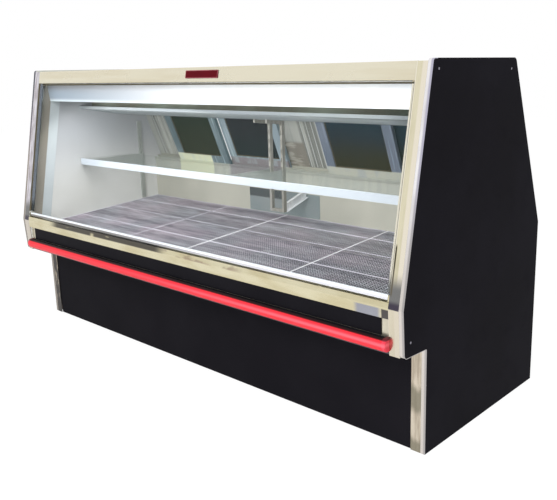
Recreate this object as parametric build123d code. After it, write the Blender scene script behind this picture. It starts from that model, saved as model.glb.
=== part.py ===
from build123d import *
import os
from math import atan2, cos, hypot, pi, sin, tan

os.makedirs("parts", exist_ok=True)

# Refrigerated meat display case. Millimetres, +Z up, +X along the case, the customer's side faces -Y.
# The origin is on the floor under the middle of the case.

# Outer form
case_length = 2489.0
overall_depth = 983.0
case_height = 1346.0
bumper_projection = 19.0
nose_overhang = 139.0
nose_bottom_height = 397.0
nose_top_height = 563.0
nose_undercut = 9.0
front_lean = 152.0
top_depth = 555.0
knee_height = 694.0
step_height = 393.0
floor_gap = 3.0

# Thicknesses and clearances
board_thickness = 18.0
trim_thickness = 2.0
end_wall_thickness = 39.3
tank_wall = 40.0
sheet = 1.5
seat_gap = 0.2
loose_gap = 0.3
slide_gap = 4.0
pin_clearance = 0.05
weld_overlap = 1.0
overcut = 1.0
facets = 12

# Outline corner radii of the end boards
top_front_radius = 12.0
top_rear_radius = 20.0
nose_radius = 16.0
small_radius = 4.0

# Sunk screws of the end boards
screw_radius = 4.5
screw_height = 1.6
screw_sink = 0.1
screw_inset = 33.0
screw_rear_drop = 39.0
screw_nose_inset = 36.0
screw_nose_rise = 49.5

# Tank and rear wall
tank_bottom = 400.0
tank_front_inset = 14.5
rear_wall_thickness = 108.5
rear_skin_inset = 1.5
sill_margin = 2.0

# Front rail and tilting glass
rail_bottom = 525.0
rail_top = 581.0
rail_depth = 57.0
rail_skin = 13.0
rail_back_drop = 8.0
rail_face_round = 5.0
channel_size = 16.0
channel_end_gap = 1.3
pivot_rise = 34.0
pivot_depth = 12.9
glass_thickness = 6.0
glass_grip = 9.0
glass_top_gap = 2.0
glass_side_gap = 13.0
hinge_pin_radius = 4.0
hinge_pin_root = 12.0
hinge_pin_reach = 9.0
hinge_ear_thickness = 8.0
hinge_ear_radius = 10.0
stop_lip_depth = 18.0
stop_lip_reach = 20.0
stop_lip_clear = 16.0

# Pilasters
pilaster_width = 41.0
pilaster_foot_gap = 2.0

# Fascia and bumper
fascia_bottom = 461.0
fascia_thickness = 3.5
fascia_inset = 37.0
bumper_bottom = 413.0
bumper_height = 47.0
bumper_channel_depth = 20.0
bumper_channel_wall = 2.0
bumper_channel_inset = 2.0
bumper_lip = 4.0
bumper_cap_length = 14.0
bumper_cap_edge = 2.5

# Canopy and lamp
canopy_recess = 6.0
canopy_drop = 61.0
canopy_thickness = 20.0
canopy_radius = 7.0
canopy_lower_radius = 2.0
top_panel_thickness = 38.0
top_recess = 8.0
nameplate_length = 204.0
nameplate_width = 33.0
nameplate_thickness = 3.0
nameplate_offset = 146.0
nameplate_drop = 14.0
nameplate_edge = 1.2
valance_drop = 116.0
valance_setback = 196.0
valance_lean = 16.0
valance_lip = 22.0
lamp_radius = 13.0
lamp_end_gap = 1.8
lamp_drop = 66.0
lamp_setback = 42.0
lamp_spacing = 44.0
lamp_overlap = 60.0
holder_length = 16.0
holder_width = 30.0

# Drip pan and gravity coil
pan_setback = 362.5
pan_drop = 164.0
pan_post_gap = 66.6
pan_fall_angle = 10.0
pan_rim = 14.0
coil_margin = 28.0
coil_height = 100.0
coil_inset = 87.0
coil_fin_pitch = 150.0
coil_fin_thickness = 6.0
coil_core_inset = 9.0
coil_foot = 10.0
coil_foot_width = 16.0

# Drains
drain_x = 0.0
drain_setback = 233.0
drain_radius = 16.0
drain_wall = 3.0
drain_flange = 10.0
drain_flange_thickness = 3.0
drain_tail_radius = 15.0
drain_tail = 100.0
drain_drop = 50.0
outlet_end_inset = 47.0
outlet_inset = 18.0
outlet_radius = 9.0
outlet_clearance = 0.6
outlet_rise = 3.0
outlet_first_drop = 40.0
outlet_second_drop = 110.0
outlet_behind_post = 26.0
outlet_bend = 20.0

# Rear doors
door_width = 434.0
header_height = 83.4
door_stile = 52.0
door_thickness = 18.0
door_overlap = 20.0
door_start = 147.0
door_glass_thickness = 5.0
door_glass_grip = 8.0
pull_length = 96.0
pull_width = 20.0
pull_depth = 5.0
mid_panel_left = 120.0
mid_panel_right = 242.0
fixed_panel_thickness = 8.0
track_lip = 2.5
track_lip_height = 12.0
track_web = 5.0
track_head_gap = 6.0
door_1_left = -934.0
door_2_left = -503.0
door_3_left = 222.0
door_4_left = 573.0
inner_doors = (1, 3)

# Deck and shelf
deck_front_height = 529.0
deck_slope = 0.0694
deck_thickness = 8.0
deck_bar = 5.0
deck_frame_bar = 9.0
deck_rows = 5
deck_columns = 3
deck_joint_left = -519.0
deck_joint_middle = -76.0
deck_joint_right = 568.0
deck_end_gap = 3.0
deck_wall_gap = 2.0
deck_notch_gap = 3.0
ledge_reach = 22.0
ledge_flange = 30.0
ledge_thickness = 3.0
post_width = 13.0
post_depth = 20.0
post_spread = 82.0
post_middle = 28.5
post_tie_height = 14.0
post_setback = 178.0
post_above_pan = 37.0
post_arm_width = 8.0
post_arm_height = 12.0
post_arm_seat = 30.0
slot_height = 22.0
slot_width = 6.0
slot_depth = 5.0
slot_pitch = 44.0
slot_start = 104.0
post_slots = 8
brace_height = 44.0
brace_flange = 16.0
brace_wall = 2.0
brace_low = 640.0
brace_rise = 50.0
standard_slots = 6
standard_width = 25.0
standard_depth = 9.0
standard_setback = 121.0
standard_deck_gap = 6.0
standard_door_gap = 2.0
shelf_height = 857.0
shelf_setback = 342.5
shelf_rear_gap = 5.0
shelf_end_gap = 6.0
shelf_glass_thickness = 8.0
moulding_height = 33.0
moulding_thickness = 3.0
moulding_rise = 3.0
moulding_top_lip = 9.0
moulding_foot = 14.0
moulding_foot_thickness = 2.0
bracket_thickness = 4.0
bracket_root_height = 62.0
bracket_tip_height = 18.0
bracket_waist = 60.0
bracket_waist_height = 43.0
bracket_front_gap = 2.0
bracket_tie_radius = 5.0
bracket_tie_setback = 90.0
bracket_tie_drop = 20.0

# Base
base_panel_gap = 2.3
base_panel_drop = 4.0
base_panel_recess = 3.0
base_panel_lift = 1.0
base_panel_edge = 1.2
corner_post_depth = 42.0
corner_post_drop = 2.0
corner_post_edge = 1.0
frame_bottom = 24.0
frame_tube = 40.0
frame_inset = 21.5
frame_end_inset = 86.5
frame_inner_leg = 300.0
foot_pad_radius = 22.0
foot_pad_height = 9.0
foot_stud_radius = 6.0
foot_nut_height = 7.0
foot_nut_radius = 10.0
foot_pad_edge = 1.5
rear_panel_bottom = 10.0
rear_panel_drop = 8.0
rear_panel_recess = 8.0
rear_panel_end_gap = 2.0
rear_panel_return = 10.0
louvre_height = 16.0
louvre_pitch = 36.0
louvre_length = 400.0
louvre_rows = 6
louvre_left = -360.0
louvre_middle = 240.0
louvre_right = 700.0
louvre_depth = 7.0
louvre_lean = 1.5
louvre_skin = 3.0

# Condensing unit
unit_centre = 640.0
unit_width = 620.0
unit_base_depth = 470.0
unit_rear_inset = 40.0
unit_base_height = 24.0
unit_sheet = 3.0
runner_width = 30.0
runner_height = 12.0
condenser_width = 400.0
condenser_height = 250.0
condenser_depth = 60.0
condenser_rear_gap = 30.0
condenser_end_gap = 20.0
condenser_fin_pitch = 25.0
condenser_fin_thickness = 4.0
condenser_core_inset = 8.0
fan_radius = 105.0
fan_hub_radius = 30.0
fan_hub_edge = 5.0
fan_tip_gap = 6.0
fan_depth = 26.0
fan_motor_gap = 2.0
fan_blades = 5
fan_blade_pitch = 28.0
fan_blade_thickness = 2.4
fan_blade_root = 4.0
fan_blade_lead = 3.0
fan_root_chord = 34.0
fan_tip_chord = 62.0
fan_tip_round = 10.0
fan_shaft_radius = 4.0
fan_shaft_length = 12.0
shroud_depth = 46.0
ring_reach = 8.0
ring_wall = 2.0
motor_radius = 32.0
motor_length = 60.0
motor_edge = 6.0
motor_gap = 10.0
arm_width = 10.0
arm_thickness = 4.0
arm_foot_depth = 12.0
compressor_radius = 82.0
compressor_height = 190.0
compressor_setback = 60.0
compressor_end_gap = 14.0
round_sides = 20
compressor_foot_height = 12.0
compressor_foot_radius = 14.0
compressor_foot_sink = 16.0
compressor_foot_circle = 70.0
compressor_base_radius = 61.0
compressor_base_round = 23.0
compressor_dome = 46.0
compressor_dome_steps = 3
compressor_seam = 4.0
compressor_seam_height = 98.0
terminal_width = 56.0
terminal_height = 44.0
terminal_depth = 30.0
terminal_reach = 8.0
terminal_rise = 57.0
pipe_sides = 10
line_radius = 6.0
suction_radius = 8.0
line_rise = 137.0
line_offset = 10.0
line_bend = 18.0
suction_drop = 30.0
suction_offset = 30.0
suction_reach = 70.0
condenser_line_drop = 30.0

# Electrical box and controls
box_width = 190.0
box_height = 130.0
box_depth = 70.0
box_left = -180.0
box_bottom = 190.0
box_rear_gap = 6.0
box_corner_radius = 5.0
box_leg_inset = 12.0
box_leg_width = 12.0
box_leg_thickness = 6.0
box_leg_setback = 30.0
knob_across = 133.0
knob_up = 78.0
knob_radius = 19.0
knob_edge = 1.5
knob_panel_gap = 0.8
knob_recess = 0.2
knob_shaft_radius = 4.0
knob_shaft_depth = 18.0
knob_seat_depth = 20.0
knob_hole_gap = 2.0
switch_width = 20.0
switch_height = 12.0
switch_gap = 0.6
switch_swing_room = 1.5
switch_pocket_depth = 18.0
switch_end_inset = 127.0
switch_body_depth = 10.0
switch_edge_depth = 2.5
switch_crown_depth = 0.4
switch_pin_radius = 2.0
switch_pin_depth = 7.0
switch_pin_reach = 3.5

# Places that follow from the sizes above: outer form
half_length = case_length / 2
rear_y = overall_depth / 2
bumper_front_y = -overall_depth / 2
nose_y = bumper_front_y + bumper_projection
base_front_y = nose_y + nose_overhang
nose_bottom_y = nose_y + nose_undercut
top_front_y = nose_y + front_lean
top_rear_y = top_front_y + top_depth
board_inner = half_length - board_thickness
wall_outer = board_inner - seat_gap
inner_half = wall_outer - end_wall_thickness
pilaster_inner = wall_outer - pilaster_width
front_half = pilaster_inner - seat_gap
front_rise = case_height - nose_top_height
front_run = hypot(front_lean, front_rise)
front_cos = front_rise / front_run
front_sin = front_lean / front_run
rear_run = hypot(rear_y - top_rear_y, case_height - knee_height)
rear_cos = (case_height - knee_height) / rear_run
rear_sin = (rear_y - top_rear_y) / rear_run

# Tank, top and rear frame
tank_front_y = nose_y + tank_front_inset
tank_floor_top = tank_bottom + tank_wall
rear_inner_face = rear_y - rear_wall_thickness
rear_skin_y = rear_y - rear_skin_inset
canopy_height = case_height - canopy_recess
top_panel_top = case_height - top_recess
top_panel_bottom = top_panel_top - top_panel_thickness
track_outer = rear_skin_inset + fixed_panel_thickness
outer_door_depth = track_outer + track_lip + slide_gap / 2
inner_door_depth = outer_door_depth + door_thickness + slide_gap + track_lip
track_inner = inner_door_depth + door_thickness + slide_gap / 2 + track_lip
sill_start = door_start - loose_gap - track_web
head_end = (top_panel_bottom - knee_height) / rear_cos - header_height
head_start = head_end - track_web
door_height = head_start - track_head_gap - door_start
door_places = (door_1_left, door_2_left, door_3_left, door_4_left)
door_pair_opening = 2 * door_width - 3 * door_overlap

# Inside of the case
fall = pan_fall_angle * pi / 180
deck_front = tank_front_y + tank_wall + deck_wall_gap
deck_joints = (deck_joint_left, deck_joint_middle, deck_joint_right)
deck_rear = rear_inner_face - deck_wall_gap
post_front = rear_inner_face - post_setback
post_back = post_front + post_depth
post_places = (post_middle - post_spread / 2, post_middle + post_spread / 2)
pan_front = nose_y + pan_setback
pan_front_height = top_panel_bottom - pan_drop
pan_depth = (post_front - pan_post_gap - pan_front) / cos(fall)
pan_end_y = pan_front + pan_depth * cos(fall)
pan_end_height = pan_front_height - pan_depth * sin(fall)
coil_depth = pan_depth - 2 * coil_margin
coil_length = 2 * (inner_half - coil_inset)
post_height = pan_end_height + post_above_pan
standard_front = rear_inner_face - standard_setback
standard_rear = standard_front + standard_width
standard_depth_room = (rear_y - standard_rear) * rear_cos - track_inner - standard_door_gap
standard_top = knee_height + standard_depth_room / rear_sin
shelf_front = nose_y + shelf_setback
shelf_underside = shelf_height - shelf_glass_thickness
lamp_length = inner_half - holder_length - seat_gap - lamp_end_gap + lamp_overlap / 2
drain_y = rear_inner_face - drain_setback
outlet_x = inner_half - outlet_end_inset

# Base and machinery
base_panel_half = pilaster_inner - base_panel_gap
base_panel_top = tank_bottom - base_panel_drop
frame_front = base_front_y + frame_inset
frame_rear = rear_y - frame_inset
frame_leg_places = (
    frame_end_inset - half_length,
    -frame_inner_leg,
    frame_inner_leg,
    half_length - frame_end_inset,
)
rear_panel_top = tank_bottom - rear_panel_drop
rear_panel_outer = rear_y - rear_panel_recess
rear_panel_inner = rear_panel_outer - sheet
louvre_places = (louvre_left, louvre_middle, louvre_right)
unit_floor = frame_bottom + frame_tube
unit_deck = unit_floor + unit_sheet
unit_rear = frame_rear - unit_rear_inset
unit_front = unit_rear - unit_base_depth
unit_low_x = unit_centre - unit_width / 2
unit_high_x = unit_centre + unit_width / 2
condenser_x = unit_low_x + condenser_end_gap + condenser_width / 2
condenser_y = unit_rear - condenser_rear_gap - condenser_depth / 2
condenser_z = unit_deck + condenser_height / 2
shroud_rear = condenser_y - condenser_depth / 2
shroud_front = shroud_rear - shroud_depth
ring_radius = fan_radius + fan_tip_gap
motor_face = shroud_front - motor_gap
compressor_x = unit_high_x - compressor_radius - compressor_end_gap
compressor_y = unit_front + compressor_radius + compressor_setback
compressor_base = unit_deck + compressor_foot_height
box_rear = rear_panel_inner - box_rear_gap
knob_x = box_left + knob_across
knob_z = box_bottom + knob_up
knob_front = rear_panel_outer + knob_panel_gap
switch_place = inner_half - switch_end_inset


def front_point(rise, out):
    """Point (y, z) at a distance up the leaning front from the nose, and outwards from it."""
    return (
        nose_y + rise * front_sin - out * front_cos,
        nose_top_height + rise * front_cos + out * front_sin,
    )


def front_rise_at(height):
    """Distance up the leaning front at which its face has this height."""
    return (height - nose_top_height) / front_cos


def rear_point(rise, depth):
    """Point (y, z) at a distance up the rear slope from the knee, and into the case from it."""
    return (
        rear_y - rise * rear_sin - depth * rear_cos,
        knee_height + rise * rear_cos - depth * rear_sin,
    )


def front_slope_at(height, depth):
    """The y of the leaning front at a height, at a depth behind its face."""
    return nose_y + (height - nose_top_height) * front_sin / front_cos + depth / front_cos


def rear_slope_at(height, depth):
    """The y of the rear slope at a height, at a depth below its face."""
    return rear_y - (height - knee_height) * rear_sin / rear_cos - depth / rear_cos


def section(points):
    """Flat face through (y, z) points."""
    return make_face(Polyline(*[(0, y, z) for y, z in points], close=True))


def rounded(face, corners):
    """Face with the corners nearest to the given (y, z) points rounded: (y, z, radius) each."""
    for y, z, radius in corners:
        corner = face.vertices().sort_by_distance((0, y, z))[0]
        face = fillet(corner, radius)
    return face


def along_case(face, x_low, x_high):
    """Face in the plane x = 0 pushed along the case from x_low to x_high."""
    return Pos(x_low, 0, 0) * extrude(face, amount=x_high - x_low, dir=(1, 0, 0))


def bar(points, x_low, x_high):
    """Straight length of a section given by its (y, z) points."""
    return along_case(section(points), x_low, x_high)


def block(x_low, x_high, y_low, y_high, z_low, z_high):
    """Box between two corners."""
    centre = ((x_low + x_high) / 2, (y_low + y_high) / 2, (z_low + z_high) / 2)
    return Pos(*centre) * Box(x_high - x_low, y_high - y_low, z_high - z_low)


def disc(centre, direction, radius, height):
    """Cylinder that starts at a point and runs along a direction."""
    return extrude(Plane(origin=centre, z_dir=direction) * Circle(radius), amount=height)


def faceted_disc(centre, direction, radius, height):
    """Round form with flat sides, for pieces that nothing turns on."""
    return extrude(Plane(origin=centre, z_dir=direction) * RegularPolygon(radius, round_sides), amount=height)


def both_ends(shape):
    """A shape and its mirror image at the other end of the case."""
    return [shape, mirror(shape, about=Plane.YZ)]


def save(name, *shapes):
    """Write one node's solids to its STEP file."""
    solids = [solid for shape in shapes for solid in shape.solids()]
    whole = Compound(children=solids) if len(solids) > 1 else solids[0]
    export_step(whole, "parts/" + name + ".step")


def end_outline():
    """Outline of an end board, with its rounded corners."""
    face = section([
        (base_front_y, floor_gap),
        (base_front_y, step_height),
        (nose_bottom_y, nose_bottom_height),
        (nose_y, nose_top_height),
        (top_front_y, case_height),
        (top_rear_y, case_height),
        (rear_y, knee_height),
        (rear_y, floor_gap),
    ])
    return rounded(face, [
        (nose_bottom_y, nose_bottom_height, nose_radius),
        (top_front_y, case_height, top_front_radius),
        (top_rear_y, case_height, top_rear_radius),
        (base_front_y, step_height, small_radius),
        (nose_y, nose_top_height, small_radius),
    ])


def edge_trim_outline():
    """Strip along the front edges of an end board: slope, nose, underside and base."""
    outline = end_outline()
    ring = outline - offset(outline, amount=-trim_thickness, kind=Kind.INTERSECTION)
    margin = 2 * top_front_radius
    keep_upper = section([
        (nose_y - margin, step_height - nose_radius),
        (nose_y - margin, case_height + margin),
        (top_front_y + margin, case_height + margin),
        (top_front_y + margin, case_height - margin),
        (base_front_y + margin, step_height + margin),
        (base_front_y + small_radius, step_height - nose_radius),
    ])
    keep_lower = section([
        (base_front_y - margin, 0),
        (base_front_y - margin, step_height),
        (base_front_y + trim_thickness, step_height),
        (base_front_y + trim_thickness, 0),
    ])
    return ring & (keep_upper + keep_lower)


def end_boards():
    """Laminated board that closes each end, its bright edge strip and its three sunk screws."""
    strip = edge_trim_outline()
    board = along_case(end_outline() - strip, board_inner, half_length)
    places = (
        (top_front_y + screw_inset, case_height - screw_inset),
        (top_rear_y - screw_inset, case_height - screw_rear_drop),
        (nose_bottom_y + screw_nose_inset, nose_bottom_height + screw_nose_rise),
    )
    screws = []
    for y, z in places:
        seat = Plane(origin=(half_length - screw_sink - screw_height, y, z), z_dir=(1, 0, 0))
        recess = seat * RegularPolygon(screw_radius + seat_gap, facets)
        board -= extrude(recess, amount=screw_height + overcut)
        screws += both_ends(extrude(seat * RegularPolygon(screw_radius, facets), amount=screw_height))
    save("end_panels", *both_ends(board))
    save("end_trims", *both_ends(along_case(strip, board_inner, half_length)))
    save("end_panel_screws", *screws)


def end_walls():
    """Insulated wall inside each end board, which carries the tank, the pan and the shelf standards."""
    wall = section([
        (nose_bottom_y + sheet, tank_bottom),
        (nose_y + sheet, nose_top_height),
        (front_slope_at(top_panel_bottom, sheet), top_panel_bottom),
        (rear_slope_at(top_panel_bottom, rear_skin_inset), top_panel_bottom),
        (rear_slope_at(knee_height, rear_skin_inset), knee_height),
        (rear_skin_y, tank_bottom),
    ])
    save("end_walls", *both_ends(along_case(wall, inner_half, wall_outer)))


def pilasters():
    """Bright upright at each end of the front, bent at the nose, with the lip that the glass leans on."""
    top_rise = front_rise_at(top_panel_top)
    lip_rise = front_rise_at(canopy_height - canopy_drop)
    foot = nose_bottom_height + pilaster_foot_gap
    face = bar([
        (nose_bottom_y, foot),
        (nose_y, nose_top_height),
        front_point(top_rise, 0),
        front_point(top_rise, -sheet),
        (nose_y + sheet, nose_top_height),
        (nose_bottom_y + sheet, foot),
    ], pilaster_inner, wall_outer)
    side_start = pivot_rise + stop_lip_clear
    side = bar([
        front_point(side_start, 0),
        front_point(top_rise, 0),
        front_point(top_rise, -stop_lip_depth),
        front_point(side_start, -stop_lip_depth),
    ], pilaster_inner, inner_half)
    lip = bar([
        front_point(side_start, -stop_lip_depth + sheet),
        front_point(lip_rise, -stop_lip_depth + sheet),
        front_point(lip_rise, -stop_lip_depth),
        front_point(side_start, -stop_lip_depth),
    ], pilaster_inner - stop_lip_reach, pilaster_inner)
    save("pilasters", *both_ends(face + side + lip))


def tank():
    """Insulated tank under the deck: floor, front wall and the rear wall up to the door sill."""
    floor = bar([
        (tank_front_y, tank_bottom),
        (tank_front_y, tank_floor_top),
        (rear_skin_y, tank_floor_top),
        (rear_skin_y, tank_bottom),
    ], -inner_half, inner_half)
    drain_hole = disc((drain_x, drain_y, tank_bottom - overcut), (0, 0, 1),
                      drain_radius + seat_gap, tank_wall + 2 * overcut)
    save("tank_floor", floor - drain_hole)
    save("tank_front_wall", bar([
        (tank_front_y, tank_floor_top),
        (tank_front_y, rail_top - rail_skin),
        (tank_front_y + tank_wall, rail_top - rail_skin),
        (tank_front_y + tank_wall, tank_floor_top),
    ], -inner_half, inner_half))
    sill_inner = rear_point(sill_start, track_inner + sill_margin)
    save("tank_rear_wall", bar([
        (rear_skin_y, tank_floor_top),
        (rear_slope_at(knee_height, rear_skin_inset), knee_height),
        rear_point(sill_start, rear_skin_inset),
        sill_inner,
        (rear_inner_face, sill_inner[1]),
        (rear_inner_face, tank_floor_top),
    ], -inner_half, inner_half))


def front_rail():
    """Bright rail under the glass, a cap over the tank's front wall, with an ear for each hinge pin."""
    back_y = nose_y + rail_depth
    lower_y = nose_y + nose_undercut * (nose_top_height - rail_bottom) / (nose_top_height - nose_bottom_height)
    top_front = front_point(front_rise_at(rail_top), 0)
    wall_y = tank_front_y + tank_wall + seat_gap
    profile = section([
        (lower_y, rail_bottom),
        (nose_y, nose_top_height),
        top_front,
        (back_y, rail_top),
        (back_y, rail_top - rail_skin - rail_back_drop),
        (wall_y, rail_top - rail_skin - rail_back_drop),
        (wall_y, rail_top - rail_skin),
        (tank_front_y, rail_top - rail_skin),
        (tank_front_y, rail_bottom),
    ])
    profile = rounded(profile, [(*top_front, rail_face_round), (back_y, rail_top, rail_face_round)])
    rail = along_case(profile, -front_half, front_half)
    pivot_y, pivot_z = front_point(pivot_rise, -pivot_depth)
    ear_low = front_half - hinge_ear_thickness
    ear = block(ear_low, front_half, pivot_y - hinge_ear_radius, pivot_y + hinge_ear_radius,
                rail_top - weld_overlap, pivot_z)
    ear += disc((ear_low, pivot_y, pivot_z), (1, 0, 0), hinge_ear_radius, hinge_ear_thickness)
    ear -= disc((ear_low - overcut, pivot_y, pivot_z), (1, 0, 0),
                hinge_pin_radius + pin_clearance, hinge_ear_thickness + 2 * overcut)
    save("front_rail", rail.fuse(*both_ends(ear)))


def front_glass():
    """Sloping front glass in its white bottom channel, whose end pins turn in the ears of the rail."""
    glass_half = inner_half - glass_side_gap
    half = channel_size / 2
    low = pivot_rise + half - glass_grip
    high = front_rise_at(canopy_height - canopy_drop) - glass_top_gap
    near = -pivot_depth + glass_thickness / 2
    far = -pivot_depth - glass_thickness / 2
    save("front_glass_pane", bar([
        front_point(low, near),
        front_point(high, near),
        front_point(high, far),
        front_point(low, far),
    ], -glass_half, glass_half))
    groove = glass_thickness / 2 + seat_gap / 2
    channel_half = front_half - hinge_ear_thickness - channel_end_gap
    channel = bar([
        front_point(pivot_rise - half, -pivot_depth + half),
        front_point(pivot_rise + half, -pivot_depth + half),
        front_point(pivot_rise + half, -pivot_depth + groove),
        front_point(low, -pivot_depth + groove),
        front_point(low, -pivot_depth - groove),
        front_point(pivot_rise + half, -pivot_depth - groove),
        front_point(pivot_rise + half, -pivot_depth - half),
        front_point(pivot_rise - half, -pivot_depth - half),
    ], -channel_half, channel_half)
    pivot_y, pivot_z = front_point(pivot_rise, -pivot_depth)
    pin = disc((channel_half - hinge_pin_root, pivot_y, pivot_z), (1, 0, 0),
               hinge_pin_radius, hinge_pin_root + hinge_pin_reach)
    pin -= bar([
        front_point(low, -pivot_depth + groove),
        front_point(pivot_rise + half, -pivot_depth + groove),
        front_point(pivot_rise + half, -pivot_depth - groove),
        front_point(low, -pivot_depth - groove),
    ], 0, channel_half)
    save("glass_bottom_channel", channel.fuse(*both_ends(pin)))


def fascia():
    """Black fascia between the rail and the bumper."""
    half = inner_half - fascia_inset
    save("fascia_panel", block(-half, half, tank_front_y - fascia_thickness, tank_front_y,
                               fascia_bottom, rail_bottom - seat_gap))


def bumper():
    """Cushioned bumper rail: a metal channel, the insert that snaps in its lips, and two end caps."""
    back = tank_front_y
    front = back - bumper_channel_depth
    low = bumper_bottom + bumper_channel_inset
    high = bumper_bottom + bumper_height - bumper_channel_inset
    core_half = front_half - bumper_cap_length
    save("bumper_channel", bar([
        (back, low),
        (front, low),
        (front, low + bumper_lip),
        (front + bumper_channel_wall, low + bumper_lip),
        (front + bumper_channel_wall, low + bumper_channel_wall),
        (back - bumper_channel_wall, low + bumper_channel_wall),
        (back - bumper_channel_wall, high - bumper_channel_wall),
        (front + bumper_channel_wall, high - bumper_channel_wall),
        (front + bumper_channel_wall, high - bumper_lip),
        (front, high - bumper_lip),
        (front, high),
        (back, high),
    ], -core_half, core_half))
    neck = block(-core_half, core_half, front - seat_gap, front + bumper_channel_wall,
                 low + bumper_lip + seat_gap, high - bumper_lip - seat_gap)
    nose = along_case(bumper_round(front - seat_gap, front - seat_gap), -core_half, core_half)
    save("bumper_insert", nose + neck)
    cap = along_case(bumper_round(back, front), core_half + seat_gap, front_half)
    outer_edges = cap.edges().group_by(Axis.X)[-1].filter_by(GeomType.CIRCLE)
    save("bumper_end_caps", *both_ends(chamfer(outer_edges, bumper_cap_edge)))


def bumper_round(back, shoulder):
    """Section of the bumper's rounded nose, flat from a back plane to its shoulder."""
    bottom = (0, shoulder, bumper_bottom)
    top = (0, shoulder, bumper_bottom + bumper_height)
    crown = (0, bumper_front_y, bumper_bottom + bumper_height / 2)
    edges = [ThreePointArc(bottom, crown, top)]
    if back > shoulder:
        edges.append(Polyline(top, (0, back, top[2]), (0, back, bumper_bottom), bottom))
    else:
        edges.append(Line(top, bottom))
    return make_face(edges)


def canopy():
    """Bright band over the glass with its bare nameplate."""
    low = front_rise_at(canopy_height - canopy_drop)
    high = front_rise_at(canopy_height)
    corner = front_point(high, 0)
    lower_corner = front_point(low, 0)
    band = section([
        lower_corner,
        corner,
        front_point(high, -canopy_thickness),
        front_point(low, -canopy_thickness),
    ])
    band = rounded(band, [(*corner, canopy_radius), (*lower_corner, canopy_lower_radius)])
    save("canopy_band", along_case(band, -front_half, front_half))
    plate_top = high - nameplate_drop
    plate = bar([
        front_point(plate_top - nameplate_width, 0),
        front_point(plate_top - nameplate_width, nameplate_thickness),
        front_point(plate_top, nameplate_thickness),
        front_point(plate_top, 0),
    ], nameplate_offset - nameplate_length / 2, nameplate_offset + nameplate_length / 2)
    outer_face = plate.faces().sort_by(Axis.Y)[0]
    save("nameplate", chamfer(outer_face.edges(), nameplate_edge))


def top_panel():
    """Insulated top between the canopy band and the rear header, which also covers the end walls."""
    middle = bar(top_outline(canopy_thickness), -inner_half, inner_half)
    side = bar(top_outline(sheet + seat_gap), inner_half, wall_outer)
    save("top_panel", middle.fuse(*both_ends(side)))


def top_outline(front_depth):
    """Corners of the top panel's section, which starts at a depth behind the leaning front."""
    return [
        (front_slope_at(top_panel_bottom, front_depth), top_panel_bottom),
        (front_slope_at(top_panel_top, front_depth), top_panel_top),
        (rear_slope_at(top_panel_top, rear_skin_inset), top_panel_top),
        (rear_slope_at(top_panel_bottom, rear_skin_inset), top_panel_bottom),
    ]


def lamps():
    """White valance behind the glass, two fluorescent tubes that pass each other, and their holders."""
    bottom_y = nose_y + valance_setback
    top_y = bottom_y - valance_lean
    bottom = top_panel_bottom - valance_drop
    save("lamp_valance", bar([
        (top_y, top_panel_bottom),
        (bottom_y, bottom),
        (bottom_y + valance_lip, bottom),
        (bottom_y + valance_lip, bottom + sheet),
        (bottom_y + sheet, bottom + sheet),
        (top_y + sheet, top_panel_bottom),
    ], -inner_half, inner_half))
    tube_z = top_panel_bottom - lamp_drop
    half = holder_width / 2
    tubes = []
    holders = []
    for side in (-1, 1):
        y = bottom_y + lamp_setback + lamp_spacing * (side + 1) / 2
        start = side * (lamp_length - lamp_overlap) / 2 - lamp_length / 2
        end = start + lamp_length
        tubes.append(disc((start, y, tube_z), (1, 0, 0), lamp_radius, lamp_length))
        for low, high in ((start - seat_gap - holder_length, start - seat_gap),
                          (end + seat_gap, end + seat_gap + holder_length)):
            holders.append(block(low, high, y - half, y + half, tube_z - half, top_panel_bottom))
    save("lamp_tubes", *tubes)
    save("lamp_holders", *holders)


def pan_place():
    """Frame along the drip pan: local Y runs back down the pan and local Z stands on it."""
    return Plane(origin=(0, pan_front, pan_front_height), x_dir=(1, 0, 0), z_dir=(0, sin(fall), cos(fall)))


def gravity_coil():
    """Drip pan that falls to the rear, and the finned gravity coil that stands in it."""
    place = pan_place().location
    half = inner_half - seat_gap
    tray = block(-half, half, 0, pan_depth, 0, pan_rim)
    tray -= block(sheet - half, half - sheet, sheet, pan_depth - sheet, sheet, pan_rim + overcut)
    tray -= Pos(outlet_x, pan_depth - outlet_inset, 0) * Cylinder(outlet_radius + outlet_clearance, pan_rim)
    save("drip_pan", place * tray)
    lift = sheet + coil_foot
    back = coil_margin + coil_depth
    pack = finned_block(coil_length, coil_height, coil_depth,
                        coil_fin_pitch, coil_fin_thickness, coil_core_inset)
    coil = Pos(0, pan_depth / 2, lift + coil_height / 2) * pack
    fins = fin_places(coil_length, coil_fin_pitch, coil_fin_thickness)
    for x in (fins[0], fins[len(fins) // 2], fins[-1]):
        coil += block(x - coil_foot_width / 2, x + coil_foot_width / 2, coil_margin, back, sheet, lift)
    save("gravity_coil", place * coil)


def fin_places(width, pitch, thickness):
    """Middles of the fins along a coil pack, from one end to the other."""
    count = int(width / pitch) + 1
    step = (width - thickness) / (count - 1)
    return [(thickness - width) / 2 + index * step for index in range(count)]


def finned_block(width, height, depth, pitch, thickness, core_inset):
    """Coil pack: thin plates across a narrower core."""
    plates = [Pos(x, 0, 0) * Box(thickness, depth, height) for x in fin_places(width, pitch, thickness)]
    core = Box(width, depth - 2 * core_inset, height - 2 * core_inset)
    return core.fuse(*plates)


def slope_sheet(low, high, near, far, x_low, x_high):
    """Flat piece on the rear slope, between two rises and two depths."""
    return bar([
        rear_point(low, near),
        rear_point(high, near),
        rear_point(high, far),
        rear_point(low, far),
    ], x_low, x_high)


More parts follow.
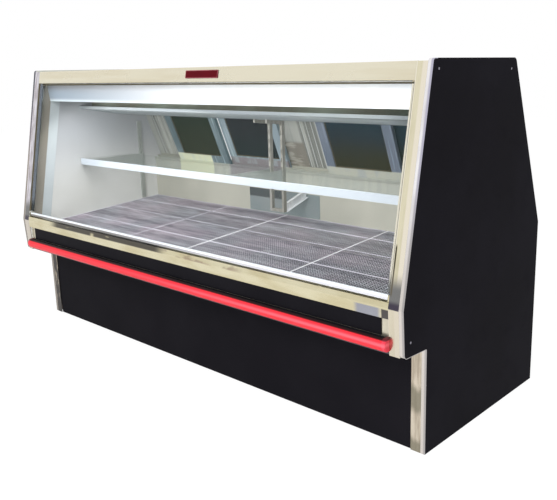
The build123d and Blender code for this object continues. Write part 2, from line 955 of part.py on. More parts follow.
def rear_header():
    """Insulated header over the doors, with the pocket of the lamp switch."""
    header = bar([
        rear_point(head_end, rear_skin_inset),
        (rear_slope_at(top_panel_bottom, rear_skin_inset), top_panel_bottom),
        (rear_slope_at(top_panel_bottom, track_inner), top_panel_bottom),
        rear_point(head_end, track_inner),
    ], -inner_half, inner_half)
    save("rear_header", header - switch_hole())


def rear_fixed_panels():
    """Fixed bright panels at both ends of the door opening and in its middle."""
    save("rear_fixed_panels", *[
        slope_sheet(sill_start, head_end, rear_skin_inset, track_outer, low, high)
        for low, high in (
            (-inner_half, -mid_panel_left - door_pair_opening),
            (-mid_panel_left, mid_panel_right),
            (mid_panel_right + door_pair_opening, inner_half),
        )
    ])


def door_tracks():
    """Two-lane tracks of the sliding doors: a web and three lips each, below and above."""
    lanes = (
        (track_outer, track_outer + track_lip),
        (outer_door_depth + door_thickness + slide_gap / 2, inner_door_depth - slide_gap / 2),
        (track_inner - track_lip, track_inner),
    )
    web_end = sill_start + track_web
    lip_start = head_start - track_head_gap - track_lip_height
    lower = slope_sheet(sill_start, web_end, track_outer, track_inner, -inner_half, inner_half)
    upper = slope_sheet(head_start, head_end, track_outer, track_inner, -inner_half, inner_half)
    for near, far in lanes:
        lower += slope_sheet(web_end - weld_overlap, web_end + track_lip_height, near, far,
                             -inner_half, inner_half)
        upper += slope_sheet(lip_start, head_start + weld_overlap, near, far,
                             -inner_half, inner_half)
    save("door_lower_track", lower)
    save("door_upper_track", upper)


def rear_plane():
    """Frame on the rear slope: local Y runs up it from the knee and local Z runs into the case."""
    return Plane(origin=(0, rear_y, knee_height), x_dir=(1, 0, 0), z_dir=(0, -rear_cos, -rear_sin))


def rear_doors():
    """Four sliding doors: a framed pane each, with a recessed finger pull on the server's side."""
    place = rear_plane().location
    opening_width = door_width - 2 * door_stile
    opening_height = door_height - 2 * door_stile
    pane_width = opening_width + 2 * door_glass_grip
    pane_height = opening_height + 2 * door_glass_grip
    ring = extrude(Rectangle(door_width, door_height) - Rectangle(opening_width, opening_height),
                   amount=door_thickness / 2, both=True)
    ring -= Box(pane_width, pane_height, door_glass_thickness)
    pane = Box(pane_width - seat_gap, pane_height - seat_gap, door_glass_thickness - seat_gap)
    pull = extrude(SlotOverall(pull_length, pull_width, rotation=90), amount=pull_depth)
    for number, left in enumerate(door_places, start=1):
        inner = number in inner_doors
        near = inner_door_depth if inner else outer_door_depth
        side = -1 if inner else 1
        centre = Pos(left + door_width / 2, door_start + door_height / 2, near + door_thickness / 2)
        recess = Pos(side * (door_width - door_stile) / 2, 0, -door_thickness / 2) * pull
        save("door_frame_%d" % number, place * (centre * (ring - recess)))
        save("door_glass_%d" % number, place * (centre * pane))


def deck_height(y):
    """Height of the deck's upper face, which rises to the rear."""
    return deck_front_height + deck_slope * (y - deck_front)


def deck_plane():
    """Frame on the underside of the deck at its front edge: local Y runs back up the slope."""
    tilt = atan2(deck_slope, 1)
    return Plane(
        origin=(0, deck_front, deck_front_height - deck_thickness),
        x_dir=(1, 0, 0),
        z_dir=(0, -sin(tilt), cos(tilt)),
    )


def deck():
    """Four lift-out deck grilles with a notch for the drain tube, on two ledges."""
    edges = [deck_end_gap - inner_half, *deck_joints, inner_half - deck_end_gap]
    tube_hole = disc((outlet_x, post_front + outlet_behind_post, deck_front_height), (0, 0, 1),
                     outlet_radius + deck_notch_gap, shelf_height - deck_front_height)
    save("deck_grilles", *[grille(low, high) - tube_hole for low, high in zip(edges, edges[1:])])
    save("deck_supports",
         ledge(tank_front_y + tank_wall, 1, deck_height(deck_front)),
         ledge(rear_inner_face, -1, deck_height(deck_rear)))


def grille(low, high):
    """One deck grille between two joints: a frame filled with crossing bars."""
    length = (deck_rear - deck_front) * hypot(1, deck_slope)
    width = high - low - deck_end_gap
    hole_width = (width - 2 * deck_frame_bar - (deck_columns - 1) * deck_bar) / deck_columns
    hole_length = (length - 2 * deck_frame_bar - (deck_rows - 1) * deck_bar) / deck_rows
    holes = GridLocations(hole_width + deck_bar, hole_length + deck_bar, deck_columns, deck_rows)
    pattern = Rectangle(width, length) - [spot * Rectangle(hole_width, hole_length) for spot in holes]
    middle = Pos((low + high) / 2, length / 2, 0)
    return deck_plane().location * (middle * extrude(pattern, amount=deck_thickness))


def ledge(wall_y, toward, height):
    """Sheet ledge under one edge of the deck: a flange on the wall and a lip that follows the slope."""
    lip_y = wall_y + toward * ledge_reach
    lip_rise = toward * deck_slope * (ledge_reach - deck_wall_gap)
    flange_y = wall_y + toward * ledge_thickness
    top = height - deck_thickness - loose_gap
    return bar([
        (wall_y, top - ledge_flange),
        (wall_y, top),
        (lip_y, top + lip_rise),
        (lip_y, top + lip_rise - ledge_thickness),
        (flange_y, top - ledge_thickness),
        (flange_y, top - ledge_flange),
    ], -inner_half, inner_half)


def shelf_posts():
    """Two slotted posts tied at foot and top, whose arms carry the drip pan, and the wall standards."""
    post = block(*post_places, post_front, post_back, brace_low, brace_low + post_tie_height)
    post += block(*post_places, post_front, post_back, post_height - post_tie_height, post_height)
    arm_top = pan_end_height - loose_gap
    seat_y = pan_end_y - post_arm_seat
    for x in post_places:
        post += block(x - post_width / 2, x + post_width / 2, post_front, post_back, brace_low, post_height)
        post += bar([
            (post_front + weld_overlap, arm_top - 2 * post_arm_height),
            (seat_y, arm_top - post_arm_height),
            (seat_y, arm_top + post_arm_seat * tan(fall)),
            (pan_end_y, arm_top),
            (post_front + weld_overlap, arm_top),
        ], x - post_arm_width / 2, x + post_arm_width / 2)
        for z in slot_heights(post_slots):
            post -= block(x - slot_width / 2, x + slot_width / 2,
                          post_front - overcut, post_front + slot_depth, z, z + slot_height)
    face_x = inner_half - standard_depth
    middle_y = standard_front + standard_width / 2
    standard = block(face_x, inner_half, standard_front, standard_rear,
                     deck_height(standard_front) + standard_deck_gap, standard_top)
    for z in slot_heights(standard_slots):
        standard -= block(face_x - overcut, face_x + slot_depth, middle_y - slot_width / 2,
                          middle_y + slot_width / 2, z, z + slot_height)
    save("shelf_posts", post, *both_ends(standard))


def post_brace():
    """Bright channel that carries the posts' foot from the rear wall, open towards the end of the case."""
    low = post_places[1] - post_width / 2
    start = post_back + seat_gap
    slope = brace_rise / (rear_inner_face - start)
    rest = rear_inner_face - seat_gap
    top = brace_low + brace_rise
    channel = bar([
        (start, brace_low),
        (rest, top),
        (rest, top + brace_height),
        (start, brace_low + brace_height),
    ], low, low + brace_flange)
    lift = brace_wall * hypot(1, slope)
    channel -= bar([
        (start - overcut, brace_low + lift - overcut * slope),
        (rest + overcut, top + lift + overcut * slope),
        (rest + overcut, top + brace_height - lift + overcut * slope),
        (start - overcut, brace_low + brace_height - lift - overcut * slope),
    ], low + brace_wall, low + brace_flange + overcut)
    save("post_brace", channel)


def slot_heights(count):
    """Heights of the bracket slots, from the lowest up."""
    return [shelf_height - slot_start + index * slot_pitch for index in range(count)]


def shelf():
    """Glass shelf with its white front moulding."""
    half = inner_half - shelf_end_gap
    face_y = shelf_front + moulding_thickness
    foot = shelf_underside - seat_gap
    top = shelf_height + moulding_rise
    save("shelf_glass", block(-half, half, face_y + seat_gap, post_front - shelf_rear_gap,
                              shelf_underside, shelf_height))
    save("shelf_front_moulding", bar([
        (shelf_front, top - moulding_height),
        (shelf_front, top),
        (face_y + moulding_top_lip, top),
        (face_y + moulding_top_lip, shelf_height + seat_gap),
        (face_y, shelf_height + seat_gap),
        (face_y, foot),
        (face_y + moulding_foot, foot),
        (face_y + moulding_foot, foot - moulding_foot_thickness),
        (face_y, foot - moulding_foot_thickness),
        (face_y, top - moulding_height),
    ], -half, half))


def shelf_brackets():
    """Tapered blades under the shelf: one on each wall standard and a tied pair on the posts."""
    hook_x = inner_half - standard_depth
    blade_x = hook_x - bracket_thickness
    side = bracket_blade(blade_x, hook_x, standard_front)
    side += block(blade_x, hook_x, standard_front - weld_overlap, standard_rear,
                  shelf_underside - bracket_root_height, shelf_underside - seat_gap)
    centre = disc((post_places[0], post_front - bracket_tie_setback, shelf_underside - bracket_tie_drop),
                  (1, 0, 0), bracket_tie_radius, post_spread)
    for x in post_places:
        centre += bracket_blade(x - bracket_thickness / 2, x + bracket_thickness / 2, post_front)
    save("shelf_brackets", *both_ends(side), centre)


def bracket_blade(x_low, x_high, back):
    """Blade that tapers from its root at a post to the shelf's front."""
    top = shelf_underside - seat_gap
    start = shelf_front + moulding_thickness + moulding_foot + bracket_front_gap
    return bar([
        (back, top),
        (start, top),
        (start, shelf_underside - bracket_tip_height),
        (back - bracket_waist, shelf_underside - bracket_waist_height),
        (back, shelf_underside - bracket_root_height),
    ], x_low, x_high)


def base_frame():
    """Welded frame of square tube: eight legs, cross tubes and rails, low and high."""
    tube = frame_tube
    rows = (frame_front, frame_rear - tube)
    levels = (frame_bottom, tank_bottom - tube)
    tubes = []
    for x in frame_leg_places:
        for y in rows:
            tubes.append(block(x - tube / 2, x + tube / 2, y, y + tube, frame_bottom, tank_bottom))
        for z in levels:
            tubes.append(block(x - tube / 2, x + tube / 2, frame_front + tube, frame_rear - tube, z, z + tube))
    for left, right in zip(frame_leg_places, frame_leg_places[1:]):
        for y in rows:
            for z in levels:
                tubes.append(block(left + tube / 2, right - tube / 2, y, y + tube, z, z + tube))
    save("base_frame", *tubes)
    save("levelling_feet", *[
        levelling_foot(x, y)
        for x in frame_leg_places
        for y in (frame_front + tube / 2, frame_rear - tube / 2)
    ])


def levelling_foot(x, y):
    """Hexagon-headed foot on a stud, with its lock nut under the frame."""
    head = extrude(RegularPolygon(foot_pad_radius, 6), amount=foot_pad_height)
    head = chamfer(head.edges().group_by(Axis.Z)[0], foot_pad_edge)
    stud = extrude(RegularPolygon(foot_stud_radius, 6), amount=frame_bottom)
    nut = extrude(RegularPolygon(foot_nut_radius, 6), amount=foot_nut_height)
    return Pos(x, y, 0) * (head + stud + Pos(0, 0, frame_bottom - foot_nut_height) * nut)


def base_covers():
    """Black front panel of the base, a pan open to the rear, and its bright corner posts."""
    front = base_front_y + base_panel_recess
    back = frame_front - loose_gap
    bottom = floor_gap + base_panel_lift
    pan = block(-base_panel_half, base_panel_half, front, back, bottom, base_panel_top)
    pan = chamfer(pan.edges().filter_by(Axis.X).group_by(Axis.Y)[0], base_panel_edge)
    pan -= block(sheet - base_panel_half, base_panel_half - sheet, front + sheet, back + overcut,
                 bottom + sheet, base_panel_top - sheet)
    save("base_front_panel", pan)
    back = base_front_y + corner_post_depth
    post = block(pilaster_inner, wall_outer, base_front_y, back, floor_gap, tank_bottom - corner_post_drop)
    post -= block(pilaster_inner - overcut, wall_outer - sheet, base_front_y + sheet, back + overcut,
                  floor_gap - overcut, step_height)
    edge = post.edges().filter_by(Axis.Z).sort_by_distance((wall_outer, base_front_y, step_height / 2))[0]
    save("base_corner_posts", *both_ends(chamfer(edge, corner_post_edge)))


def rear_access_panel():
    """Rear base cover with three banks of pressed louvres and the hole for the dial's shaft."""
    half = wall_outer - rear_panel_end_gap
    flange_y = rear_panel_inner - rear_panel_return
    panel = block(-half, half, rear_panel_inner, rear_panel_outer, rear_panel_bottom, rear_panel_top)
    for low in (rear_panel_bottom, rear_panel_top - sheet):
        panel += block(-half, half, flange_y, rear_panel_outer, low, low + sheet)
    middle = (rear_panel_bottom + rear_panel_top) / 2
    hoods = []
    mouths = []
    for x in louvre_places:
        for row in range(louvre_rows):
            z = middle + (row - (louvre_rows - 1) / 2) * louvre_pitch
            hoods.append(louvre_hood(x, z))
            mouths.append(louvre_mouth(x, z))
    panel = panel.fuse(*hoods).cut(*mouths)
    panel -= disc((knob_x, rear_panel_inner - overcut, knob_z), (0, 1, 0),
                  knob_shaft_radius + knob_hole_gap, sheet + 2 * overcut)
    save("rear_access_panel", panel)


def louvre_hood(x, z):
    """Outside of one pressed louvre."""
    tip = rear_panel_outer + louvre_depth
    root = rear_panel_outer - sheet / 2
    return bar([
        (root, z - louvre_height / 2),
        (tip, z - louvre_height / 2),
        (tip - louvre_lean, z),
        (root, z + louvre_height / 2),
    ], x - louvre_length / 2, x + louvre_length / 2)


def louvre_mouth(x, z):
    """Air gap inside one pressed louvre, open downwards and through the panel."""
    tip = rear_panel_outer + louvre_depth - sheet
    root = rear_panel_inner - overcut
    bottom = z - louvre_height / 2 - overcut
    return bar([
        (root, bottom),
        (tip, bottom),
        (tip - louvre_lean, z),
        (rear_panel_outer, z + louvre_height / 2 - louvre_skin),
        (root, z + louvre_height / 2 - louvre_skin),
    ], x - louvre_length / 2 + sheet, x + louvre_length / 2 - sheet)


def electrical_box():
    """Box of controls behind the rear panel, with the shaft seat of the dial, on two flat legs."""
    body = block(box_left, box_left + box_width, box_rear - box_depth, box_rear,
                 box_bottom, box_bottom + box_height)
    body = chamfer(body.edges().filter_by(Axis.Y), box_corner_radius)
    leg_y = box_rear - box_leg_setback
    for x in (box_left + box_leg_inset, box_left + box_width - box_leg_inset):
        body += block(x - box_leg_width / 2, x + box_leg_width / 2, leg_y, leg_y + box_leg_thickness,
                      unit_floor, box_bottom + weld_overlap)
    body -= disc((knob_x, box_rear + overcut, knob_z), (0, -1, 0),
                 knob_shaft_radius + pin_clearance, knob_seat_depth + overcut)
    save("electrical_box", body)


def thermostat_knob():
    """Faceted dial on its shaft, behind the rear face of the case."""
    start = box_rear - knob_shaft_depth
    shaft = disc((knob_x, start, knob_z), (0, 1, 0), knob_shaft_radius, knob_front + weld_overlap - start)
    face = Plane(origin=(knob_x, knob_front, knob_z), z_dir=(0, 1, 0)) * RegularPolygon(knob_radius, facets)
    cap = extrude(face, amount=rear_y - knob_recess - knob_front)
    save("thermostat_knob", shaft + chamfer(cap.edges().group_by(Axis.Y)[-1], knob_edge))


def switch_frame():
    """Frame on the rear header where the lamp switch sits: local Y up the slope, local Z outwards."""
    y, z = rear_point(head_end + header_height / 2, rear_skin_inset)
    return Plane(origin=(switch_place, y, z), x_dir=(-1, 0, 0), z_dir=(0, rear_cos, rear_sin))


def switch_hole():
    """Pocket in the header for the rocker and its cross pin."""
    depth = switch_pocket_depth + overcut
    pocket = Pos(0, 0, depth / 2 - switch_pocket_depth) * Box(
        switch_width + 2 * switch_gap,
        switch_height + 2 * switch_gap + 2 * switch_swing_room,
        depth,
    )
    return switch_frame().location * (pocket + switch_pin(switch_pin_radius + pin_clearance, switch_gap))


def switch_pin(radius, end_gap):
    """Cross pin of the rocker, or with a clearance its bearing."""
    length = switch_width + 2 * (switch_pin_reach + end_gap)
    return Pos(0, 0, -switch_pin_depth) * (Rot(0, 90, 0) * Cylinder(radius, length))


def light_switch():
    """Rocker of the lamp switch on its own cross pin."""
    half = switch_height / 2
    profile = section([
        (-half, -switch_body_depth),
        (-half, -switch_edge_depth),
        (0, -switch_crown_depth),
        (half, -switch_edge_depth),
        (half, -switch_body_depth),
    ])
    body = along_case(profile, -switch_width / 2, switch_width / 2)
    save("light_switch", switch_frame().location * (body + switch_pin(switch_pin_radius, 0)))


def unit_tray():
    """Folded tray of the condensing unit on two runners across the base frame."""
    wall = unit_sheet
    tray = block(unit_low_x, unit_high_x, unit_front, unit_rear, unit_floor, unit_floor + unit_base_height)
    tray -= block(unit_low_x + wall, unit_high_x - wall, unit_front + wall, unit_rear - wall,
                  unit_deck, unit_floor + unit_base_height + overcut)
    for x in (unit_low_x + runner_width, unit_high_x - runner_width):
        tray += block(x - runner_width / 2, x + runner_width / 2, frame_front + frame_tube,
                      frame_rear - frame_tube, unit_floor - runner_height, unit_floor)
    save("condensing_unit_base", tray)


def condenser():
    """Condenser pack, and the shroud that carries the fan ring and the motor on four arms."""
    pack = finned_block(condenser_width, condenser_height, condenser_depth,
                        condenser_fin_pitch, condenser_fin_thickness, condenser_core_inset)
    save("condenser_coil", Pos(condenser_x, condenser_y, condenser_z) * pack)
    half = condenser_width / 2
    shroud = block(condenser_x - half, condenser_x + half, shroud_front, shroud_rear,
                   unit_deck, unit_deck + condenser_height)
    shroud -= block(condenser_x - half + sheet, condenser_x + half - sheet, shroud_front + sheet,
                    shroud_rear + overcut, unit_deck + sheet, unit_deck + condenser_height - sheet)
    ring_front = (condenser_x, shroud_front - ring_reach, condenser_z)
    shroud += faceted_disc(ring_front, (0, 1, 0), ring_radius + ring_wall, ring_reach + weld_overlap)
    shroud -= faceted_disc((condenser_x, ring_front[1] - overcut, condenser_z), (0, 1, 0),
                           ring_radius, ring_reach + sheet + 2 * overcut)
    save("condenser_shroud", shroud.fuse(*fan_motor()))


def fan_motor():
    """Motor with its shaft stub and the arms that tie it to the fan ring."""
    motor = faceted_disc((condenser_x, motor_face, condenser_z), (0, -1, 0), motor_radius, motor_length)
    motor = chamfer(motor.edges().group_by(Axis.Y)[0], motor_edge)
    shaft = disc((condenser_x, motor_face - weld_overlap, condenser_z), (0, 1, 0),
                 fan_shaft_radius, fan_shaft_length + weld_overlap)
    pieces = [motor, shaft]
    arm_start = motor_radius - motor_edge
    arm_end = ring_radius + motor_edge
    for angle in (45, 135, 225, 315):
        turn = Pos(condenser_x, motor_face, condenser_z) * Rot(0, angle, 0)
        arm_middle = Pos((arm_start + arm_end) / 2, -arm_thickness / 2, 0)
        arm = arm_middle * Box(arm_end - arm_start, arm_thickness, arm_width)
        foot = Pos(ring_radius + ring_wall / 2, arm_foot_depth / 2 - arm_thickness, 0)
        pieces.append(turn * arm)
        pieces.append(turn * (foot * Box(arm_width, arm_foot_depth, arm_width)))
    return pieces


def condenser_fan():
    """Five-bladed fan on the motor's shaft."""
    hub_y = motor_face + fan_motor_gap
    fan = faceted_disc((condenser_x, hub_y, condenser_z), (0, 1, 0), fan_hub_radius, fan_depth)
    fan = chamfer(fan.edges().group_by(Axis.Y)[-1], fan_hub_edge)
    blade_y = hub_y + fan_depth / 2 + fan_blade_lead
    for index in range(fan_blades):
        turn = Rot(0, 360 * index / fan_blades, 0)
        fan += Pos(condenser_x, blade_y, condenser_z) * (turn * fan_blade())
    fan -= disc((condenser_x, hub_y - overcut, condenser_z), (0, 1, 0),
                fan_shaft_radius + pin_clearance, fan_shaft_length + overcut)
    save("condenser_fan", fan)


def fan_blade():
    """Pitched blade that widens from the hub to a clipped tip, along local Z."""
    root = fan_hub_radius - fan_blade_root
    shoulder = fan_radius - fan_tip_round
    outline = make_face(Polyline(
        (-fan_root_chord / 2, root),
        (fan_root_chord / 2, root),
        (fan_tip_chord / 2, shoulder),
        (fan_tip_chord / 4, fan_radius - fan_tip_round / 4),
        (-fan_tip_chord / 4, fan_radius - fan_tip_round / 4),
        (-fan_tip_chord / 2, shoulder),
        close=True,
    ))
    plate = Plane.XZ * extrude(outline, amount=fan_blade_thickness / 2, both=True)
    return Rot(0, 0, fan_blade_pitch) * plate


def compressor():
    """Welded hermetic can with a seam, a domed top, a terminal cover and three rubber feet."""
    radius = compressor_radius
    shoulder = compressor_height - compressor_dome
    seam = compressor_seam_height
    rings = [
        (compressor_base_radius, 0),
        (radius, compressor_base_round),
        (radius, seam),
        (radius + compressor_seam, seam + compressor_seam / 2),
        (radius + compressor_seam, seam + 3 * compressor_seam / 2),
        (radius, seam + 2 * compressor_seam),
    ]
    for step in range(compressor_dome_steps):
        angle = pi / 2 * step / compressor_dome_steps
        rings.append((radius * cos(angle), shoulder + compressor_dome * sin(angle)))
    can = can_stage(*rings[0], *rings[1])
    for lower, upper in zip(rings[1:], rings[2:]):
        can += can_stage(*lower, *upper)
    can += Pos(-radius - terminal_reach, 0, terminal_rise) * Box(terminal_depth, terminal_width, terminal_height)
    for angle in (30, 150, 270):
        spot = Rot(0, 0, angle) * Pos(compressor_foot_circle, 0, -compressor_foot_height)
        foot = RegularPolygon(compressor_foot_radius, facets)
        can += spot * extrude(foot, amount=compressor_foot_height + compressor_foot_sink)
    return Pos(compressor_x, compressor_y, compressor_base) * can


def can_stage(low_radius, low, high_radius, high):
    """Part of the compressor's can between two heights, straight or tapered."""
    inset = (low_radius - high_radius) * cos(pi / round_sides)
    slant = atan2(inset, high - low) * 180 / pi
    stage = extrude(RegularPolygon(low_radius, round_sides), amount=high - low, taper=slant)
    return Pos(0, 0, low) * stage


def tube_along(points, radius, bend):
    """Pipe along straight runs, with each corner bent in two short facets."""
    corners = [Vector(*point) for point in points]
    path = [corners[0]]
    for before, corner, after in zip(corners, corners[1:], corners[2:]):
        start = corner + (before - corner).normalized() * bend
        end = corner + (after - corner).normalized() * bend
        path += [start, corner * 0.5 + (start + end) * 0.25, end]
    path.append(corners[-1])
    line = Polyline(*path)
    start = Plane(origin=line @ 0, z_dir=line % 0)
    return sweep(start * RegularPolygon(radius, pipe_sides), path=line, transition=Transition.RIGHT)


def copper_lines(can):
    """Copper lines: compressor to condenser, and the suction line up to the tank floor."""
    top = compressor_base + line_rise
    hot_x = compressor_x - line_offset
    coil_z = unit_deck + condenser_height - condenser_line_drop
    hot = tube_along([
        (hot_x, compressor_y, top),
        (hot_x, condenser_y, coil_z),
        (condenser_x + condenser_width / 2, condenser_y, coil_z),
    ], line_radius, line_bend)
    suction_x = compressor_x + suction_offset
    suction_y = compressor_y + compressor_radius + suction_reach
    suction = tube_along([
        (suction_x, compressor_y, top - suction_drop),
        (suction_x, suction_y, top - suction_drop),
        (suction_x, suction_y, tank_bottom - loose_gap),
    ], suction_radius, line_bend)
    save("copper_lines", *[longest(pipe - can) for pipe in (hot, suction)])


def longest(shape):
    """The largest solid of a shape that a cut has parted."""
    return shape.solids().sort_by(SortBy.VOLUME)[-1]


def drains():
    """Drain spout of the tank floor, and the tube that leads the drip pan's water down into the tank."""
    neck = tank_wall + drain_drop - drain_tail / 2
    bore = drain_radius - drain_wall
    spout = disc((drain_x, drain_y, tank_floor_top), (0, 0, -1), drain_radius, neck)
    spout += disc((drain_x, drain_y, tank_floor_top - neck), (0, 0, -1), drain_tail_radius, drain_tail)
    spout += faceted_disc((drain_x, drain_y, tank_floor_top), (0, 0, 1),
                          drain_radius + drain_flange, drain_flange_thickness)
    spout -= disc((drain_x, drain_y, tank_floor_top + drain_flange_thickness + overcut), (0, 0, -1),
                  bore, neck + drain_tail + drain_flange_thickness + 2 * overcut)
    outlet = pan_place().from_local_coords((outlet_x, pan_depth - outlet_inset, 0))
    down_y = post_front + outlet_behind_post
    tube = tube_along([
        (outlet_x, outlet.Y, outlet.Z + outlet_rise),
        (outlet_x, outlet.Y, outlet.Z - outlet_first_drop),
        (outlet_x, down_y, outlet.Z - outlet_second_drop),
        (outlet_x, down_y, tank_floor_top + seat_gap),
    ], outlet_radius, outlet_bend)
    save("drain_pipes", spout, tube)


end_boards()
end_walls()
pilasters()
tank()
front_rail()
front_glass()
fascia()
bumper()
canopy()
top_panel()
lamps()
gravity_coil()
rear_header()
rear_fixed_panels()
door_tracks()
rear_doors()
deck()
shelf_posts()
post_brace()
shelf()
shelf_brackets()
base_frame()
base_covers()
rear_access_panel()
electrical_box()
thermostat_knob()
light_switch()
unit_tray()
condenser()
condenser_fan()
sealed_can = compressor()
save("compressor", sealed_can)
copper_lines(sealed_can)
drains()
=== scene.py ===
"""Looks of a refrigerated meat display case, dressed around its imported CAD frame.

Lengths are metres, in the frame of the CAD: the origin lies on the floor under the middle of the
case, X runs along it, the customer stands on the -Y side and Z points up.
"""

import logging
import math
from dataclasses import dataclass
from enum import Enum
from typing import Sequence, Union

import bmesh
import bpy
from mathutils import Matrix, Vector


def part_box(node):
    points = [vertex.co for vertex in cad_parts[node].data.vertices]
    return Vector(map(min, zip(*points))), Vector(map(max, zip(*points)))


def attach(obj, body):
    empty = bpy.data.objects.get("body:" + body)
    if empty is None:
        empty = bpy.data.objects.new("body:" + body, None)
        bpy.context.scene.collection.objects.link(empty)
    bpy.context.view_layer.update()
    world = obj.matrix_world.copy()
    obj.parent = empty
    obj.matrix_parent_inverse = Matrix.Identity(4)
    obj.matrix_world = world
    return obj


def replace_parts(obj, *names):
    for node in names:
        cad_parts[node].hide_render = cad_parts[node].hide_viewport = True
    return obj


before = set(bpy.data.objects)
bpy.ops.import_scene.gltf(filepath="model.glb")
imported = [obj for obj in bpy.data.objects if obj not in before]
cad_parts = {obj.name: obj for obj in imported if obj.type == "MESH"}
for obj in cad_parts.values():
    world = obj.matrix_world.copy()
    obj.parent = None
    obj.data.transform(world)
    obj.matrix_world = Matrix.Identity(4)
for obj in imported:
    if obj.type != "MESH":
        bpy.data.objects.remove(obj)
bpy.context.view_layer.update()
log = logging.getLogger("meat_case")

Mesh = bmesh.types.BMesh
Colour = tuple[float, float, float, float]
Point = tuple[float, float, float]
Pair = tuple[float, float]
CASE = "case"
SHARP_ANGLE = math.radians(35)


def linear(code: str) -> Colour:
    """Linear colour of a six-digit sRGB code.

    Args:
        code: The colour's six digits.

    Returns:
        Red, green, blue and an alpha of 1.
    """
    parts = [int(code[i:i + 2], 16) / 255 for i in (0, 2, 4)]
    r, g, b = [p / 12.92 if p <= 0.04045 else ((p + 0.055) / 1.055) ** 2.4 for p in parts]
    return (r, g, b, 1.0)


class Wire:
    """A socket of a shader that can be used in Python arithmetic."""

    def __init__(self, shader: "Shader", socket: bpy.types.NodeSocket) -> None:
        self.shader = shader
        self.socket = socket

    def _math(self, operation: str, first: "Number", second: "Number") -> "Wire":
        """Result of one Math node on two values."""
        return self.shader.node("ShaderNodeMath", {"operation": operation}, {0: first, 1: second})

    def __add__(self, other: "Number") -> "Wire":
        """Sum."""
        return self._math("ADD", self, other)

    def __sub__(self, other: "Number") -> "Wire":
        """Difference."""
        return self._math("SUBTRACT", self, other)

    def __rsub__(self, other: "Number") -> "Wire":
        """Difference from a number."""
        return self._math("SUBTRACT", other, self)

    def __mul__(self, other: "Number") -> "Wire":
        """Product."""
        return self._math("MULTIPLY", self, other)

    def __abs__(self) -> "Wire":
        """Value without its sign."""
        return self._math("ABSOLUTE", self, 0.0)

    __radd__ = __add__
    __rmul__ = __mul__


Number = Union[Wire, float]
Tone = Union[Wire, str]


@dataclass(frozen=True)
class Cloud:
    """Noise between two of its levels, with a scale in cycles per metre along each turned axis."""

    scale: Point
    levels: Pair
    detail: float = 2.0
    turn: Point = (0.0, 0.0, 0.0)


